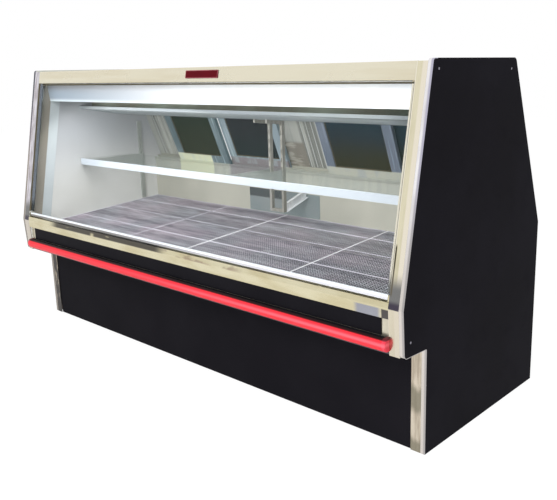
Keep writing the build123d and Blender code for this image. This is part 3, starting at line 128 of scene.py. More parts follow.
class Shader:
    """Node tree of a material or of the world, built node by node."""

    def __init__(self, tree: bpy.types.NodeTree) -> None:
        self.tree = tree

    def node(self, kind: str, settings: dict, inputs: dict, output: Union[int, str] = 0) -> Wire:
        """Adds a node.

        Args:
            kind: The node's type.
            settings: Properties of the node; "stops" fills a colour ramp.
            inputs: Values or wires, by socket name or number.
            output: The socket to give back.

        Returns:
            The chosen output.
        """
        made = self.tree.nodes.new(kind)
        for key, value in settings.items():
            if key == "stops":
                self._fill_ramp(made, value)
            else:
                setattr(made, key, value)
        for key, value in inputs.items():
            self.feed(made.inputs[key], value)
        return Wire(self, made.outputs[output])

    @staticmethod
    def _fill_ramp(ramp: bpy.types.Node, stops: Sequence[tuple[float, str]]) -> None:
        """Sets the stops of a colour ramp.

        Args:
            ramp: The ramp's node.
            stops: Places from 0 to 1 with their colours' codes.
        """
        elements = ramp.color_ramp.elements
        while len(elements) < len(stops):
            elements.new(0.5)
        for element, (place, colour) in zip(elements, stops):
            element.position = place
            element.color = linear(colour)

    def feed(self, socket: bpy.types.NodeSocket, value: Union[Wire, float, tuple, str]) -> None:
        """Links or sets one input, which takes a colour's code too.

        Args:
            socket: The input.
            value: A wire, a number, a vector or a colour's code.
        """
        if isinstance(value, Wire):
            self.tree.links.new(value.socket, socket)
        else:
            socket.default_value = linear(value) if isinstance(value, str) else value

    def place(self) -> Wire:
        """Object coordinates."""
        return self.node("ShaderNodeTexCoord", {}, {}, "Object")

    def axis(self, name: str) -> Wire:
        """One coordinate of the place, X, Y or Z."""
        return self.node("ShaderNodeSeparateXYZ", {}, {0: self.place()}, name)

    def right_half(self) -> Wire:
        """0 on the case's left half and 1 on its right one."""
        return self.step(self.axis("X"), -0.1, 0.1)

    def rear_depth(self) -> Wire:
        """Depth behind the case's rear slope, in metres along Y."""
        lean = FORM.rear_lean
        return FORM.rear_y + FORM.knee_height * lean - self.axis("Y") - self.axis("Z") * lean

    def noise(self, scale: Point, detail: float = 2.0, turn: Point = (0.0, 0.0, 0.0)) -> Wire:
        """Noise from 0 to 1 with a scale along each turned axis, in cycles per metre.

        Args:
            scale: Cycles per metre along each axis.
            detail: How fine its smallest marks are.
            turn: Rotation of the axes.

        Returns:
            The noise.
        """
        mapping = {"Vector": self.place(), "Scale": scale, "Rotation": turn}
        place = self.node("ShaderNodeMapping", {}, mapping)
        return self.node("ShaderNodeTexNoise", {}, {"Vector": place, "Scale": 1.0, "Detail": detail})

    def cloud(self, cloud: Cloud) -> Wire:
        """1 where the noise is above the cloud's levels and 0 where it is below them."""
        return self.step(self.noise(cloud.scale, cloud.detail, cloud.turn), *cloud.levels)

    def step(self, value: Number, low: float, high: float) -> Wire:
        """Smooth step from 0 at low to 1 at high."""
        inputs = {"Value": value, "From Min": low, "From Max": high}
        return self.node("ShaderNodeMapRange", {"interpolation_type": "SMOOTHSTEP"}, inputs)

    def band(self, value: Number, low: float, high: float, soft: float) -> Wire:
        """1 between two values and 0 outside them, with soft ends."""
        return self.step(value, low - soft, low + soft) * self.step(value, high + soft, high - soft)

    def mix(self, share: Number, first: Tone, second: Tone) -> Wire:
        """Colour between two others."""
        return self.node("ShaderNodeMix", {"data_type": "RGBA"}, {0: share, 6: first, 7: second}, 2)

    def ramp(self, share: Number, stops: Sequence[tuple[float, str]]) -> Wire:
        """Colour read from a ramp."""
        return self.node("ShaderNodeValToRGB", {"stops": stops}, {0: share})

    def bump(self, height: Wire, depth: float) -> Wire:
        """Normal from a height whose full range is a depth in metres."""
        return self.node("ShaderNodeBump", {}, {"Height": height, "Distance": depth, "Strength": 1.0})

    def seen(self) -> Wire:
        """1 for the rays that see the background: camera, glossy and transmission rays.

        Returns:
            The share.
        """
        share = self.node("ShaderNodeLightPath", {}, {}, "Is Camera Ray")
        for name in ("Is Glossy Ray", "Is Transmission Ray"):
            other = self.node("ShaderNodeLightPath", {}, {}, name)
            share = self.node("ShaderNodeMath", {"operation": "MAXIMUM"}, {0: share, 1: other})
        return share


class Grain(Enum):
    """Direction in which a finish is drawn, as noise scales in cycles per metre."""

    ALONG_CASE = (3.0, 420.0, 420.0)
    UPRIGHT = (420.0, 420.0, 4.0)
    EVEN = (260.0, 260.0, 260.0)
    PEEL = (90.0, 90.0, 90.0)


@dataclass(frozen=True)
class Finish:
    """A surface: two tones that drift into each other, a fine grain, soft scuffs and a slight relief."""

    name: str
    tone: str
    drift: str
    metallic: float = 0.0
    roughness: float = 0.5
    roughness_spread: float = 0.1
    specular: float = 0.4
    alpha: float = 1.0
    grain: Grain = Grain.EVEN
    grain_depth: float = 0.0001
    drift_scale: Point = (3.0, 3.0, 3.0)
    scuff: float = 0.06
    scuffs: Cloud = Cloud((11.0, 11.0, 11.0), (0.52, 0.72), 6.0)
    drift_levels: Pair = (0.35, 0.68)

    def plain(self, shader: Shader) -> Wire:
        """The two tones, drifting into each other."""
        cloud = Cloud(self.drift_scale, self.drift_levels, 4.0)
        return shader.mix(shader.cloud(cloud), self.tone, self.drift)

    def tint(self, shader: Shader) -> Wire:
        """Colour over the surface."""
        return self.plain(shader)

    def cover(self, shader: Shader) -> Number:
        """Opacity over the surface."""
        return self.alpha

    def make(self) -> bpy.types.Material:
        """Builds the material.

        Returns:
            The finished material.
        """
        material = bpy.data.materials.new(self.name)
        material.use_nodes = True
        shader = Shader(material.node_tree)
        surface = material.node_tree.nodes["Principled BSDF"].inputs
        grain = shader.noise(self.grain.value)
        matt = grain * self.roughness_spread + shader.cloud(self.scuffs) * self.scuff
        shader.feed(surface["Base Color"], self.tint(shader))
        shader.feed(surface["Metallic"], self.metallic)
        shader.feed(surface["Roughness"], matt + (self.roughness - self.roughness_spread / 2))
        shader.feed(surface["Specular IOR Level"], self.specular)
        shader.feed(surface["Alpha"], self.cover(shader))
        shader.feed(surface["Normal"], shader.bump(grain, self.grain_depth))
        return material


@dataclass(frozen=True)
class PilasterSteel(Finish):
    """Bright upright whose marks are painted reflections: grey towards the nose, a pale painted highlight
    along the inner edge, and on the left one a darker room mirrored.
    """

    # Painted reflections over the nose: grey, then dark, and a dark strip inside the right pilaster.
    grey: str = "7b7b7a"
    dark: str = "4b4652"
    foot: str = "cdc4b2"
    strip: str = "46422f"
    strip_foot: str = "6d675a"
    # Painted highlight along the right pilaster's inner edge; the left tones below are painted reflections
    # of a darker room.
    pale: str = "efe9d8"
    left_tone: str = "b3acb0"
    left_light: str = "e4e2ea"
    left_edge: str = "b4b8be"
    nose_height: float = 0.563
    grey_start: float = 0.12
    grey_full: float = 0.06
    dark_start: float = 0.03
    strip_width: float = 0.008
    strip_low: float = 0.605
    strip_high: float = 0.765
    inner_edge: float = 1.1856
    edge_width: float = 0.003
    outer_part: float = 1.211
    outer_tone: str = "e9e1cf"
    strip_change: Pair = (0.66, 0.73)
    foot_share: float = 0.75
    streaks: Cloud = Cloud((150.0, 60.0, 2.5), (0.4, 0.65))

    def tint(self, shader: Shader) -> Wire:
        """Cream above and below, with painted reflections: grey over the nose, a dark strip inside, and
        streaks at the left.

        Args:
            shader: The material's shader.

        Returns:
            The colour.
        """
        height = shader.axis("Z")
        reach = abs(shader.axis("X"))
        # Painted reflection: the left pilaster's streaks of a darker room.
        left = shader.mix(shader.cloud(self.streaks), self.left_tone, self.left_light)
        outer = shader.step(reach, self.outer_part - 0.006, self.outer_part)
        right = shader.mix(outer, self.plain(shader), self.outer_tone)
        base = shader.mix(shader.right_half(), left, right)
        # Painted highlight along the right inner edge; on the left the edge belongs to the painted
        # reflection.
        inner = shader.step(reach, self.inner_edge + self.edge_width, self.inner_edge + self.edge_width / 2)
        edge = shader.mix(shader.right_half(), self.left_edge, self.pale)
        base = shader.mix(inner, base, edge)
        under = shader.step(height, self.nose_height - 0.004, self.nose_height)
        base = shader.mix((1 - under) * self.foot_share, base, self.foot)
        # Painted reflection: grey, then dark, just over the nose.
        grey = shader.step(height, self.nose_height + self.grey_start, self.nose_height + self.grey_full)
        base = shader.mix(grey * under, base, self.grey)
        dark = shader.step(height, self.nose_height + self.dark_start, self.nose_height + 0.012)
        base = shader.mix(dark * under, base, self.dark)
        # Painted reflection: a dark strip inside the right pilaster.
        strip = shader.band(reach, self.inner_edge + 0.002, self.inner_edge + self.strip_width, 0.0015)
        strip = strip * shader.band(height, self.strip_low, self.strip_high, 0.008)
        tone = shader.mix(shader.step(height, *self.strip_change), self.strip_foot, self.strip)
        return shader.mix(strip * shader.right_half(), base, tone)


@dataclass(frozen=True)
class RailSteel(Finish):
    """Bright rail with painted reflections: its upper part mirrors the dark room towards its left end and
    turns brown further right, and a blue-grey patch lies near the right end.
    """

    # Painted reflections: the dark, brown and blue-grey tones of the upper face.
    dark: str = "3d3a39"
    brown: str = "9a8676"
    patch: str = "9094a6"
    edge_height: float = 0.5635
    dark_start: float = -0.93
    dark_end: float = -0.02
    brown_end: float = 0.47
    break_place: float = -0.562
    patch_low: float = 1.05
    patch_high: float = 1.15
    cap: str = "33323f"
    cap_start: float = 1.158
    cap_height: float = 0.556
    ragged: Cloud = Cloud((7.0, 4.0, 30.0), (0.28, 0.38), 3.0)
    brown_cloud: Cloud = Cloud((10.0, 4.0, 30.0), (0.45, 0.6), 3.0)
    dark_share: float = 0.92
    brown_share: float = 0.7
    patch_share: float = 0.85
    break_share: float = 0.85
    cap_share: float = 0.9

    def tint(self, shader: Shader) -> Wire:
        """Cream face with painted reflections: dark along the top at the left, brown beside it, and one
        blue-grey patch near the right end.

        Args:
            shader: The material's shader.

        Returns:
            The colour.
        """
        along = shader.axis("X")
        height = shader.axis("Z")
        upper = shader.step(height, self.edge_height - 0.007, self.edge_height - 0.002)
        # Painted reflection: a ragged dark strip along the top at the left, with a light break in it.
        dark = shader.band(along, self.dark_start, self.dark_end, 0.05) * shader.cloud(self.ragged)
        light = shader.band(along, self.break_place - 0.012, self.break_place + 0.012, 0.012)
        light = light * shader.step(height, self.edge_height + 0.014, self.edge_height + 0.003)
        dark = dark * (1 - light * self.break_share)
        # Painted reflections: brown along the top further right, and a blue-grey patch near the right end.
        brown = shader.band(along, self.dark_end, self.brown_end, 0.06)
        brown = brown * shader.cloud(self.brown_cloud)
        patch = shader.band(along, self.patch_low, self.patch_high, 0.012)
        patch = patch * shader.step(height, self.edge_height - 0.004, self.edge_height - 0.009)
        face = shader.mix(upper * brown * self.brown_share, self.plain(shader), self.brown)
        face = shader.mix(upper * dark * self.dark_share, face, self.dark)
        face = shader.mix(patch * self.patch_share, face, self.patch)
        cap = shader.step(along, self.cap_start - 0.003, self.cap_start + 0.002)
        cap = cap * shader.step(height, self.cap_height + 0.002, self.cap_height - 0.002)
        return shader.mix(cap * self.cap_share, face, self.cap)


@dataclass(frozen=True)
class CornerSteel(Finish):
    """Bright corner post of the base with soft grey patches, which are painted reflections."""

    dark: str = "85806f"
    left_dark: str = "413d3a"
    patch_height: float = 0.2
    patch_half: float = 0.045
    patch_share: float = 0.85
    foot_rise: Pair = (0.06, 0.03)
    wave_scale: Point = (30.0, 30.0, 5.0)
    wave: float = 0.06
    streaks: Cloud = Cloud((90.0, 40.0, 14.0), (0.53, 0.65), 3.0)

    def tint(self, shader: Shader) -> Wire:
        """Cream with painted reflections: a grey patch half way up and a small one near the floor, and dark
        streaks on the left post.

        Args:
            shader: The material's shader.

        Returns:
            The colour.
        """
        height = shader.axis("Z") + shader.noise(self.wave_scale) * self.wave - self.wave / 2
        low, high = self.patch_height - self.patch_half, self.patch_height + self.patch_half
        # Painted reflections: grey patches on the right post, half way up and near the floor.
        marks = shader.band(height, low, high, 0.02) + shader.step(height, *self.foot_rise)
        right = shader.mix(marks * self.patch_share, self.plain(shader), self.dark)
        # Painted reflection: dark streaks of the darker room on the left post.
        left = shader.mix(shader.cloud(self.streaks), self.left_dark, self.drift)
        return shader.mix(shader.right_half(), left, right)


@dataclass(frozen=True)
class BoardLaminate(Finish):
    """Black laminate outside and a pale skin on the board's inner face."""

    skin: str = "cbccc0"
    inner_face: float = 1.2275

    def tint(self, shader: Shader) -> Wire:
        """Black, and pale on the inner face."""
        inside = shader.step(abs(shader.axis("X")), self.inner_face + 0.0005, self.inner_face)
        return shader.mix(inside, self.plain(shader), self.skin)


@dataclass(frozen=True)
class TrimSteel(Finish):
    """Bright edge strip with a lilac outer border of painted shade, which is dark on the left end as a
    painted reflection.
    """

    lilac: str = "b4b1c4"
    low_border: str = "a8a4a4"
    low_face: str = "d3ccc6"
    outer_start: float = 1.2345
    outer_full: float = 1.2405
    left_widening: float = 0.009
    foot_widening: float = 2.0
    foot_height: float = 0.39
    left_rise: Pair = (0.5, 1.3)
    left_tones: tuple = ((0.0, "8b847b"), (0.45, "9a8f86"), (0.75, "6d6270"), (1.0, "23263c"))
    border_rise: Pair = (0.7, 1.1)
    face_rise: Pair = (0.55, 1.0)
    border_share: float = 0.9

    def tint(self, shader: Shader) -> Wire:
        """Inner part that is duller below, a painted reflection, and a border of painted shade whose tone
        changes with height.

        Args:
            shader: The material's shader.

        Returns:
            The colour.
        """
        height = shader.axis("Z")
        shift = (1 - shader.right_half()) * self.left_widening
        foot = shader.step(height, self.foot_height + 0.03, self.foot_height) * self.foot_widening
        outer = shader.step(abs(shader.axis("X")) + shift + shift * foot, self.outer_start, self.outer_full)
        # Painted light on the border: a dark reflection of the darker room at the left end, lilac painted
        # shade at the right.
        left = shader.ramp(shader.step(height, *self.left_rise), self.left_tones)
        right = shader.mix(shader.step(height, *self.border_rise), self.low_border, self.lilac)
        border = shader.mix(shader.right_half(), left, right)
        # Painted reflection: the inner face duller below.
        face = shader.mix(shader.step(height, *self.face_rise), self.low_face, self.plain(shader))
        return shader.mix(outer * self.border_share, face, border)


@dataclass(frozen=True)
class WallLiner(Finish):
    """White liner of the end walls, darker and a little lilac towards the top as painted shade."""

    # Painted shade: the darker, lilac tone towards the top.
    high_tone: str = "acafb3"
    low: float = 0.62
    high: float = 1.05

    def tint(self, shader: Shader) -> Wire:
        """Two tones over the height; the upper one is painted shade."""
        share = shader.step(shader.axis("Z"), self.low, self.high)
        return shader.mix(share, self.plain(shader), self.high_tone)


@dataclass(frozen=True)
class ValanceEnamel(Finish):
    """White lamp valance with blue-grey painted shade at its left end."""

    # Painted shade at the left end, deepest towards the top; the foot there stays nearly white.
    left_tone: str = "9dabb9"
    top_tone: str = "98979a"
    foot_tone: str = "e3f0f6"
    foot_height: float = 1.184
    top_height: float = 1.29
    fade: Pair = (-1.1, 0.2)

    def tint(self, shader: Shader) -> Wire:
        """Painted shade: blue-grey at the left, greyer towards the top there, and white to the right.

        Args:
            shader: The material's shader.

        Returns:
            The colour.
        """
        height = shader.axis("Z")
        high = shader.step(height, self.foot_height + 0.03, self.top_height)
        low = shader.step(height, self.foot_height + 0.02, self.foot_height)
        left = shader.mix(low, shader.mix(high, self.left_tone, self.top_tone), self.foot_tone)
        return shader.mix(shader.step(shader.axis("X"), *self.fade), left, self.plain(shader))


@dataclass(frozen=True)
class DarkPane(Finish):
    """Door pane that looks dark from the shop, with a painted reflection at its top and another at its
    foot.
    """

    # Painted reflections at the pane's top and foot.
    top_tone: str = "31414d"
    foot_tone: str = "3e3c2c"
    foot_height: float = 0.87
    top_height: float = 1.16
    cloud_scale: Point = (5.0, 5.0, 5.0)
    cloud_share: float = 0.25
    cloud_middle: float = 0.12

    def tint(self, shader: Shader) -> Wire:
        """Tone that changes over the pane's height, with painted reflections at the top and foot.

        Args:
            shader: The material's shader.

        Returns:
            The colour.
        """
        height = shader.step(shader.axis("Z"), self.foot_height, self.top_height)
        cloud = shader.noise(self.cloud_scale) * self.cloud_share - self.cloud_middle
        stops = [(0.0, self.foot_tone), (0.45, self.tone), (1.0, self.top_tone)]
        return shader.ramp(height + cloud, stops)


@dataclass(frozen=True)
class DoorSteel(Finish):
    """Frame of a door, with its own tone on the bottom rail and bright lines of painted reflection down the
    stiles.
    """

    rail_tone: str = "b0b1a6"
    rail_height: float = 0.862
    rail_end: float = 2.0
    # Painted reflections: bright lines on the stiles and fainter ones on the bottom rail.
    line: str = "d3dde0"
    middle: float = 0.051
    lines: Cloud = Cloud((70.0, 3.0, 3.0), (0.56, 0.66))
    line_share: float = 0.6
    faint: Cloud = Cloud((30.0, 2.0, 9.0), (0.45, 0.7))
    faint_share: float = 0.35

    def tint(self, shader: Shader) -> Wire:
        """Stile tone with upright lines of painted reflection, and inside the bottom rail's tone below with
        fainter ones.

        Args:
            shader: The material's shader.

        Returns:
            The colour.
        """
        stile = shader.mix(shader.cloud(self.lines) * self.line_share, self.plain(shader), self.line)
        rail = shader.mix(shader.cloud(self.faint) * self.faint_share, self.rail_tone, self.line)
        low = shader.step(shader.axis("Z"), self.rail_height + 0.004, self.rail_height - 0.004)
        low = low * shader.step(shader.axis("X"), self.rail_end + 0.004, self.rail_end - 0.004)
        low = low * shader.step(shader.rear_depth(), self.middle - 0.003, self.middle + 0.003)
        return shader.mix(low, stile, rail)


@dataclass(frozen=True)
class PostSteel(Finish):
    """Slotted post, paler on the end walls."""

    wall_tone: str = "aeb2ae"
    wall_start: float = 1.1

    def tint(self, shader: Shader) -> Wire:
        """Grey-beige in the middle of the case and nearly the liner's tone at its ends."""
        outer = shader.step(abs(shader.axis("X")), self.wall_start - 0.01, self.wall_start)
        return shader.mix(outer, self.plain(shader), self.wall_tone)


@dataclass(frozen=True)
class PanelSteel(Finish):
    """Fixed rear panel: upright reflections, and slanting ones low on the middle panel."""

    streak: str = "71736f"
    warm: str = "8d877c"
    slant: str = "bdb8ac"
    middle_low: float = -0.13
    middle_high: float = 0.06
    patch_height: float = 0.965
    middle: float = 0.0065
    streaks: Cloud = Cloud((32.0, 1.2, 1.2), (0.42, 0.62), 3.0)
    shop_share: float = 0.6
    back_share: float = 0.15
    marks: Cloud = Cloud((10.0, 60.0, 45.0), (0.5, 0.62), 2.0, (0.0, 0.6, 0.0))
    mark_share: float = 0.8
    patch_share: float = 0.9

    def tint(self, shader: Shader) -> Wire:
        """Streaks along the slope inside, and a warm patch with slanting light marks.

        Args:
            shader: The material's shader.

        Returns:
            The colour.
        """
        shop_side = shader.step(shader.rear_depth(), self.middle - 0.001, self.middle + 0.001)
        streaks = shader.cloud(self.streaks) * (shop_side * self.shop_share + self.back_share)
        base = shader.mix(streaks, self.plain(shader), self.streak)
        inside = shader.band(shader.axis("X"), self.middle_low, self.middle_high, 0.006)
        inside = inside * shader.step(shader.axis("Z"), self.patch_height + 0.01, self.patch_height - 0.01)
        patch = shader.mix(shader.cloud(self.marks) * self.mark_share, self.warm, self.slant)
        return shader.mix(inside * shop_side * self.patch_share, base, patch)


@dataclass(frozen=True)
class SillSteel(Finish):
    """Rear wall whose top, under the doors, takes their tones."""

    cream: str = "d0d4b8"
    brown: str = "8b8688"
    high_tone: str = "a9aba2"
    low: float = 0.715
    high: float = 0.745
    cream_bay: Pair = (-0.94, -0.638)
    brown_bay: Pair = (-0.5, -0.1)
    middle: float = 0.41
    streaks: Cloud = Cloud((38.0, 1.0, 1.0), (0.45, 0.6))
    streak_share: float = 0.5

    def tint(self, shader: Shader) -> Wire:
        """Liner, and inside over its top upright streaks with a cream and a brown bay.

        Args:
            shader: The material's shader.

        Returns:
            The colour.
        """
        along = shader.axis("X")
        streaks = shader.cloud(self.streaks) * self.streak_share
        top = shader.mix(streaks, self.high_tone, self.plain(shader))
        top = shader.mix(shader.band(along, *self.cream_bay, 0.006), top, self.cream)
        top = shader.mix(shader.band(along, *self.brown_bay, 0.01), top, self.brown)
        high = shader.step(shader.axis("Z"), self.low, self.high)
        high = high * shader.step(shader.axis("Y"), self.middle + 0.006, self.middle - 0.006)
        return shader.mix(high, self.plain(shader), top)


@dataclass(frozen=True)
class ChannelEnamel(Finish):
    """White glass channel whose face is shaded below, darker towards the left."""

    shade: str = "5d5753"
    right_shade: str = "bdbcc2"
    edge_height: float = 0.5965
    fade: Pair = (-0.6, 0.9)
    face_share: float = 0.9

    def tint(self, shader: Shader) -> Wire:
        """White lip over a grey face.

        Args:
            shader: The material's shader.

        Returns:
            The colour.
        """
        face = shader.mix(shader.step(shader.axis("X"), *self.fade), self.shade, self.right_shade)
        low = shader.step(shader.axis("Z"), self.edge_height + 0.0015, self.edge_height - 0.0015)
        return shader.mix(low * self.face_share, self.plain(shader), face)


@dataclass(frozen=True)
class BackPlateSteel(Finish):
    """Plate on the rear wall behind the posts, with a painted shadow along its top left."""

    # Painted shadow along the plate's top left.
    shade: str = "45484a"
    shade_end: float = -0.079
    shade_low: float = 0.662
    shade_share: float = 0.9

    def tint(self, shader: Shader) -> Wire:
        """Grey-teal with the painted shadow strip.

        Args:
            shader: The material's shader.

        Returns:
            The colour.
        """
        # Painted shadow: the dark strip along the top left.
        strip = shader.step(shader.axis("Z"), self.shade_low - 0.006, self.shade_low + 0.004)
        strip = strip * shader.step(shader.axis("X"), self.shade_end + 0.01, self.shade_end - 0.01)
        return shader.mix(strip * self.shade_share, self.plain(shader), self.shade)


@dataclass(frozen=True)
class DeckWire(Finish):
    """Deck wire whose brightness changes in long bands along the case."""

    shade: str = "7b7680"
    teal: str = "7fa3a3"
    rose: str = "c08fa0"
    cast_share: float = 0.16
    casts: Cloud = Cloud((4.0, 5.0, 5.0), (0.35, 0.65))
    broad: Cloud = Cloud((0.55, 17.0, 17.0), (0.43, 0.6), 3.0)
    broad_share: float = 0.42
    fine: Cloud = Cloud((9.0, 90.0, 90.0), (0.4, 0.6))
    fine_share: float = 0.4

    def tint(self, shader: Shader) -> Wire:
        """Light wire with darker bands.

        Args:
            shader: The material's shader.

        Returns:
            The colour.
        """
        cast = shader.mix(shader.cloud(self.casts), self.teal, self.rose)
        wire = shader.mix(self.cast_share, self.plain(shader), cast)
        broad = shader.cloud(self.broad) * self.broad_share
        return shader.mix(broad + shader.cloud(self.fine) * self.fine_share, wire, self.shade)


@dataclass(frozen=True)
class DeckRod(Finish):
    """Rod of the deck's grilles, with a painted highlight at two of the joints."""

    bright: str = "fbfafe"
    joints: Pair = (-0.076, 0.568)
    reach: float = 0.009

    def tint(self, shader: Shader) -> Wire:
        """Grey rods, and nearly white ones at the joints as painted highlights.

        Args:
            shader: The material's shader.

        Returns:
            The colour.
        """
        along = shader.axis("X")
        # Painted highlights on the rods at two of the joints.
        lit = shader.band(along, self.joints[0], self.joints[0] + self.reach, 0.001)
        lit = lit + shader.band(along, self.joints[1], self.joints[1] + self.reach, 0.001)
        return shader.mix(lit, self.plain(shader), self.bright)


@dataclass(frozen=True)
class EdgedGlass(Finish):
    """Clear glass that is deep coloured at its ground ends."""

    edge: str = "2a5160"
    edge_start: float = 1.172
    edge_alpha: float = 0.15

    def _edge(self, shader: Shader) -> Wire:
        """1 near both ends of the pane."""
        return shader.step(abs(shader.axis("X")), self.edge_start, self.edge_start + 0.002)

    def tint(self, shader: Shader) -> Wire:
        """Clear tone with a deep edge."""
        return shader.mix(self._edge(shader), self.plain(shader), self.edge)

    def cover(self, shader: Shader) -> Number:
        """Nearly clear, with denser ends."""
        return self._edge(shader) * (self.edge_alpha - self.alpha) + self.alpha


@dataclass(frozen=True)
class BumperVinyl(Finish):
    """Red bumper with a paler band of painted highlight over its upper half towards the right, and painted
    shadow along its top.
    """

    # Painted highlight in the paler band, painted shadow in the dark top.
    pale: str = "f26a76"
    shade: str = "1c0709"
    crown_height: float = 0.4325
    shade_height: float = 0.4535
    pale_rise: Pair = (-0.6, 0.9)
    pale_left: float = 0.12
    pale_more: float = 0.55

    def tint(self, shader: Shader) -> Wire:
        """Coral red, with a painted highlight above its crown and painted shadow along the top.

        Args:
            shader: The material's shader.

        Returns:
            The colour.
        """
        height = shader.axis("Z")
        # Painted highlight: the paler band above the crown.
        upper = shader.band(height, self.crown_height, self.crown_height + 0.011, 0.005)
        right = shader.step(shader.axis("X"), *self.pale_rise)
        red = shader.mix(upper * (right * self.pale_more + self.pale_left), self.plain(shader), self.pale)
        # Painted shadow along the bumper's top.
        top = shader.step(height, self.shade_height - 0.003, self.shade_height + 0.002)
        return shader.mix(top, red, self.shade)


class Palette:
    """Every finish of the case, each made once."""

    rail = RailSteel("rail_steel", "d9d2b4", "cbc19e", 1.0, 0.22, 0.12, grain=Grain.ALONG_CASE,
                     grain_depth=0.00005, drift_scale=(5.0, 20.0, 20.0))
    pilaster = PilasterSteel("pilaster_steel", "dfd8bd", "cfc7ab", 1.0, 0.2, 0.1, grain=Grain.UPRIGHT,
                             grain_depth=0.00004, drift_scale=(20.0, 20.0, 4.0))
    corner = CornerSteel("corner_steel", "d3c8b6", "a89c8a", 1.0, 0.24, 0.1, grain=Grain.UPRIGHT,
                         grain_depth=0.00004, drift_scale=(60.0, 30.0, 7.0))
    canopy = Finish("canopy_steel", "e4dec9", "dcd3ba", 1.0, 0.24, 0.1, grain=Grain.ALONG_CASE,
                    grain_depth=0.00004, drift_scale=(1.2, 14.0, 14.0))
    edge_strip = TrimSteel("edge_strip", "f4f2f4", "dad6da", 1.0, 0.18, 0.08, grain=Grain.UPRIGHT,
                           grain_depth=0.00003, drift_scale=(20.0, 6.0, 6.0))
    laminate = BoardLaminate("black_laminate", "18171c", "151418", 0.0, 0.5, 0.12, 0.01,
                             grain_depth=0.00004)
    fascia = Finish("black_fascia", "161519", "131216", 0.0, 0.35, 0.08, 0.02, grain=Grain.PEEL,
                    grain_depth=0.00002)
    base_black = Finish("black_base", "19181c", "161519", 0.0, 0.45, 0.12, 0.01, grain=Grain.PEEL,
                        grain_depth=0.00003)
    liner = WallLiner("wall_liner", "dddedb", "d3d4d0", 0.0, 0.36, 0.12, 0.3, grain=Grain.PEEL,
                      grain_depth=0.00004)
    # Dark tone: painted shade on the tank floor under the deck.
    shaded_tank = Finish("tank_floor_painted_shade", "58575c", "4a494e", 0.0, 0.5, 0.12, 0.1, grain=Grain.ALONG_CASE,
                  grain_depth=0.00004)
    sill = SillSteel("rear_wall_liner", "bab9ad", "aeada2", 0.0, 0.36, 0.12, 0.3, grain=Grain.PEEL)
    track_sill = SillSteel("track_sill", "b4b4a8", "a5a69d", 0.0, 0.36, 0.12, 0.3,
                           grain=Grain.ALONG_CASE)
    front_wall = Finish("tank_front_steel", "d9d3c0", "bdb6a4", 0.9, 0.3, 0.1, grain=Grain.UPRIGHT)
    pan = Finish("pan_metal", "a9b1b3", "989fa6", 0.0, 0.4, 0.1, 0.3, grain=Grain.ALONG_CASE,
                 grain_depth=0.00004, drift_scale=(1.1, 9.0, 9.0))
    valance = ValanceEnamel("valance_enamel", "f6f9fb", "eff3f8", 0.0, 0.3, 0.1, 0.3, grain=Grain.PEEL,
                            grain_depth=0.00003)
    moulding = Finish("white_moulding", "c9d1d8", "c1cad3", 0.0, 0.32, 0.1, 0.3, grain_depth=0.00002)
    channel = ChannelEnamel("channel_enamel", "eef3f7", "e2e9f0", 0.0, 0.32, 0.1, 0.3,
                            grain_depth=0.00002)
    bumper = BumperVinyl("red_bumper", "e62f3a", "dc2d39", 0.0, 0.36, 0.1, 0.12, grain_depth=0.00003,
                         drift_scale=(1.5, 8.0, 8.0))
    bumper_cap = BumperVinyl("bumper_cap", "dd3d4e", "c63444", 0.0, 0.4, 0.1, 0.2, grain_depth=0.00003,
                             shade="5a1a22")
    plate = Finish("dark_red_plate", "560a14", "420810", 0.0, 0.4, 0.1, 0.04, grain_depth=0.00002)
    plate_rim = Finish("plate_rim", "a9686e", "95545b", 0.0, 0.35, 0.1, 0.1, grain_depth=0.00001)
    track_metal = Finish("track_metal", "8f959c", "80868d", 1.0, 0.36, 0.1, grain=Grain.ALONG_CASE)
    fixed_panel = PanelSteel("fixed_panel_steel", "c6c8c0", "b0b2ac", 0.2, 0.38, 0.1, 0.2,
                             grain=Grain.UPRIGHT, grain_depth=0.00004, drift_scale=(7.0, 4.0, 3.0))
    # Brighter than the panel: a painted highlight along the ribs.
    rib_highlight = Finish("panel_rib_highlight", "dfe2de", "c4c8c6", 0.2, 0.3, 0.1, 0.2, grain=Grain.UPRIGHT,
                 grain_depth=0.00003)
    back_plate = BackPlateSteel("back_plate", "7f8a8c", "8d9393", 0.0, 0.42, 0.1, 0.3,
                                grain=Grain.ALONG_CASE)
    glass = EdgedGlass("clear_glass", "7d9690", "88a19b", 0.0, 0.04, 0.02, 0.4, alpha=0.02,
                       grain_depth=0.000001, scuff=0.01)
    shelf_glass = Finish("shelf_glass", "9db3ab", "a9beb6", 0.0, 0.05, 0.02, 0.4, alpha=0.06,
                         grain_depth=0.000001, scuff=0.01)
    wire = DeckWire("deck_wire", "d6d3dc", "c3bfca", 0.0, 0.42, 0.14, 0.3, grain_depth=0.00003)
    rod = DeckRod("deck_rod", "cfccd6", "c0bdc8", 0.0, 0.3, 0.1, grain_depth=0.00003,
                  drift_scale=(2.0, 40.0, 40.0))
    chrome = Finish("chrome", "e8e8ea", "dadadd", 1.0, 0.1, 0.06, grain_depth=0.00001)
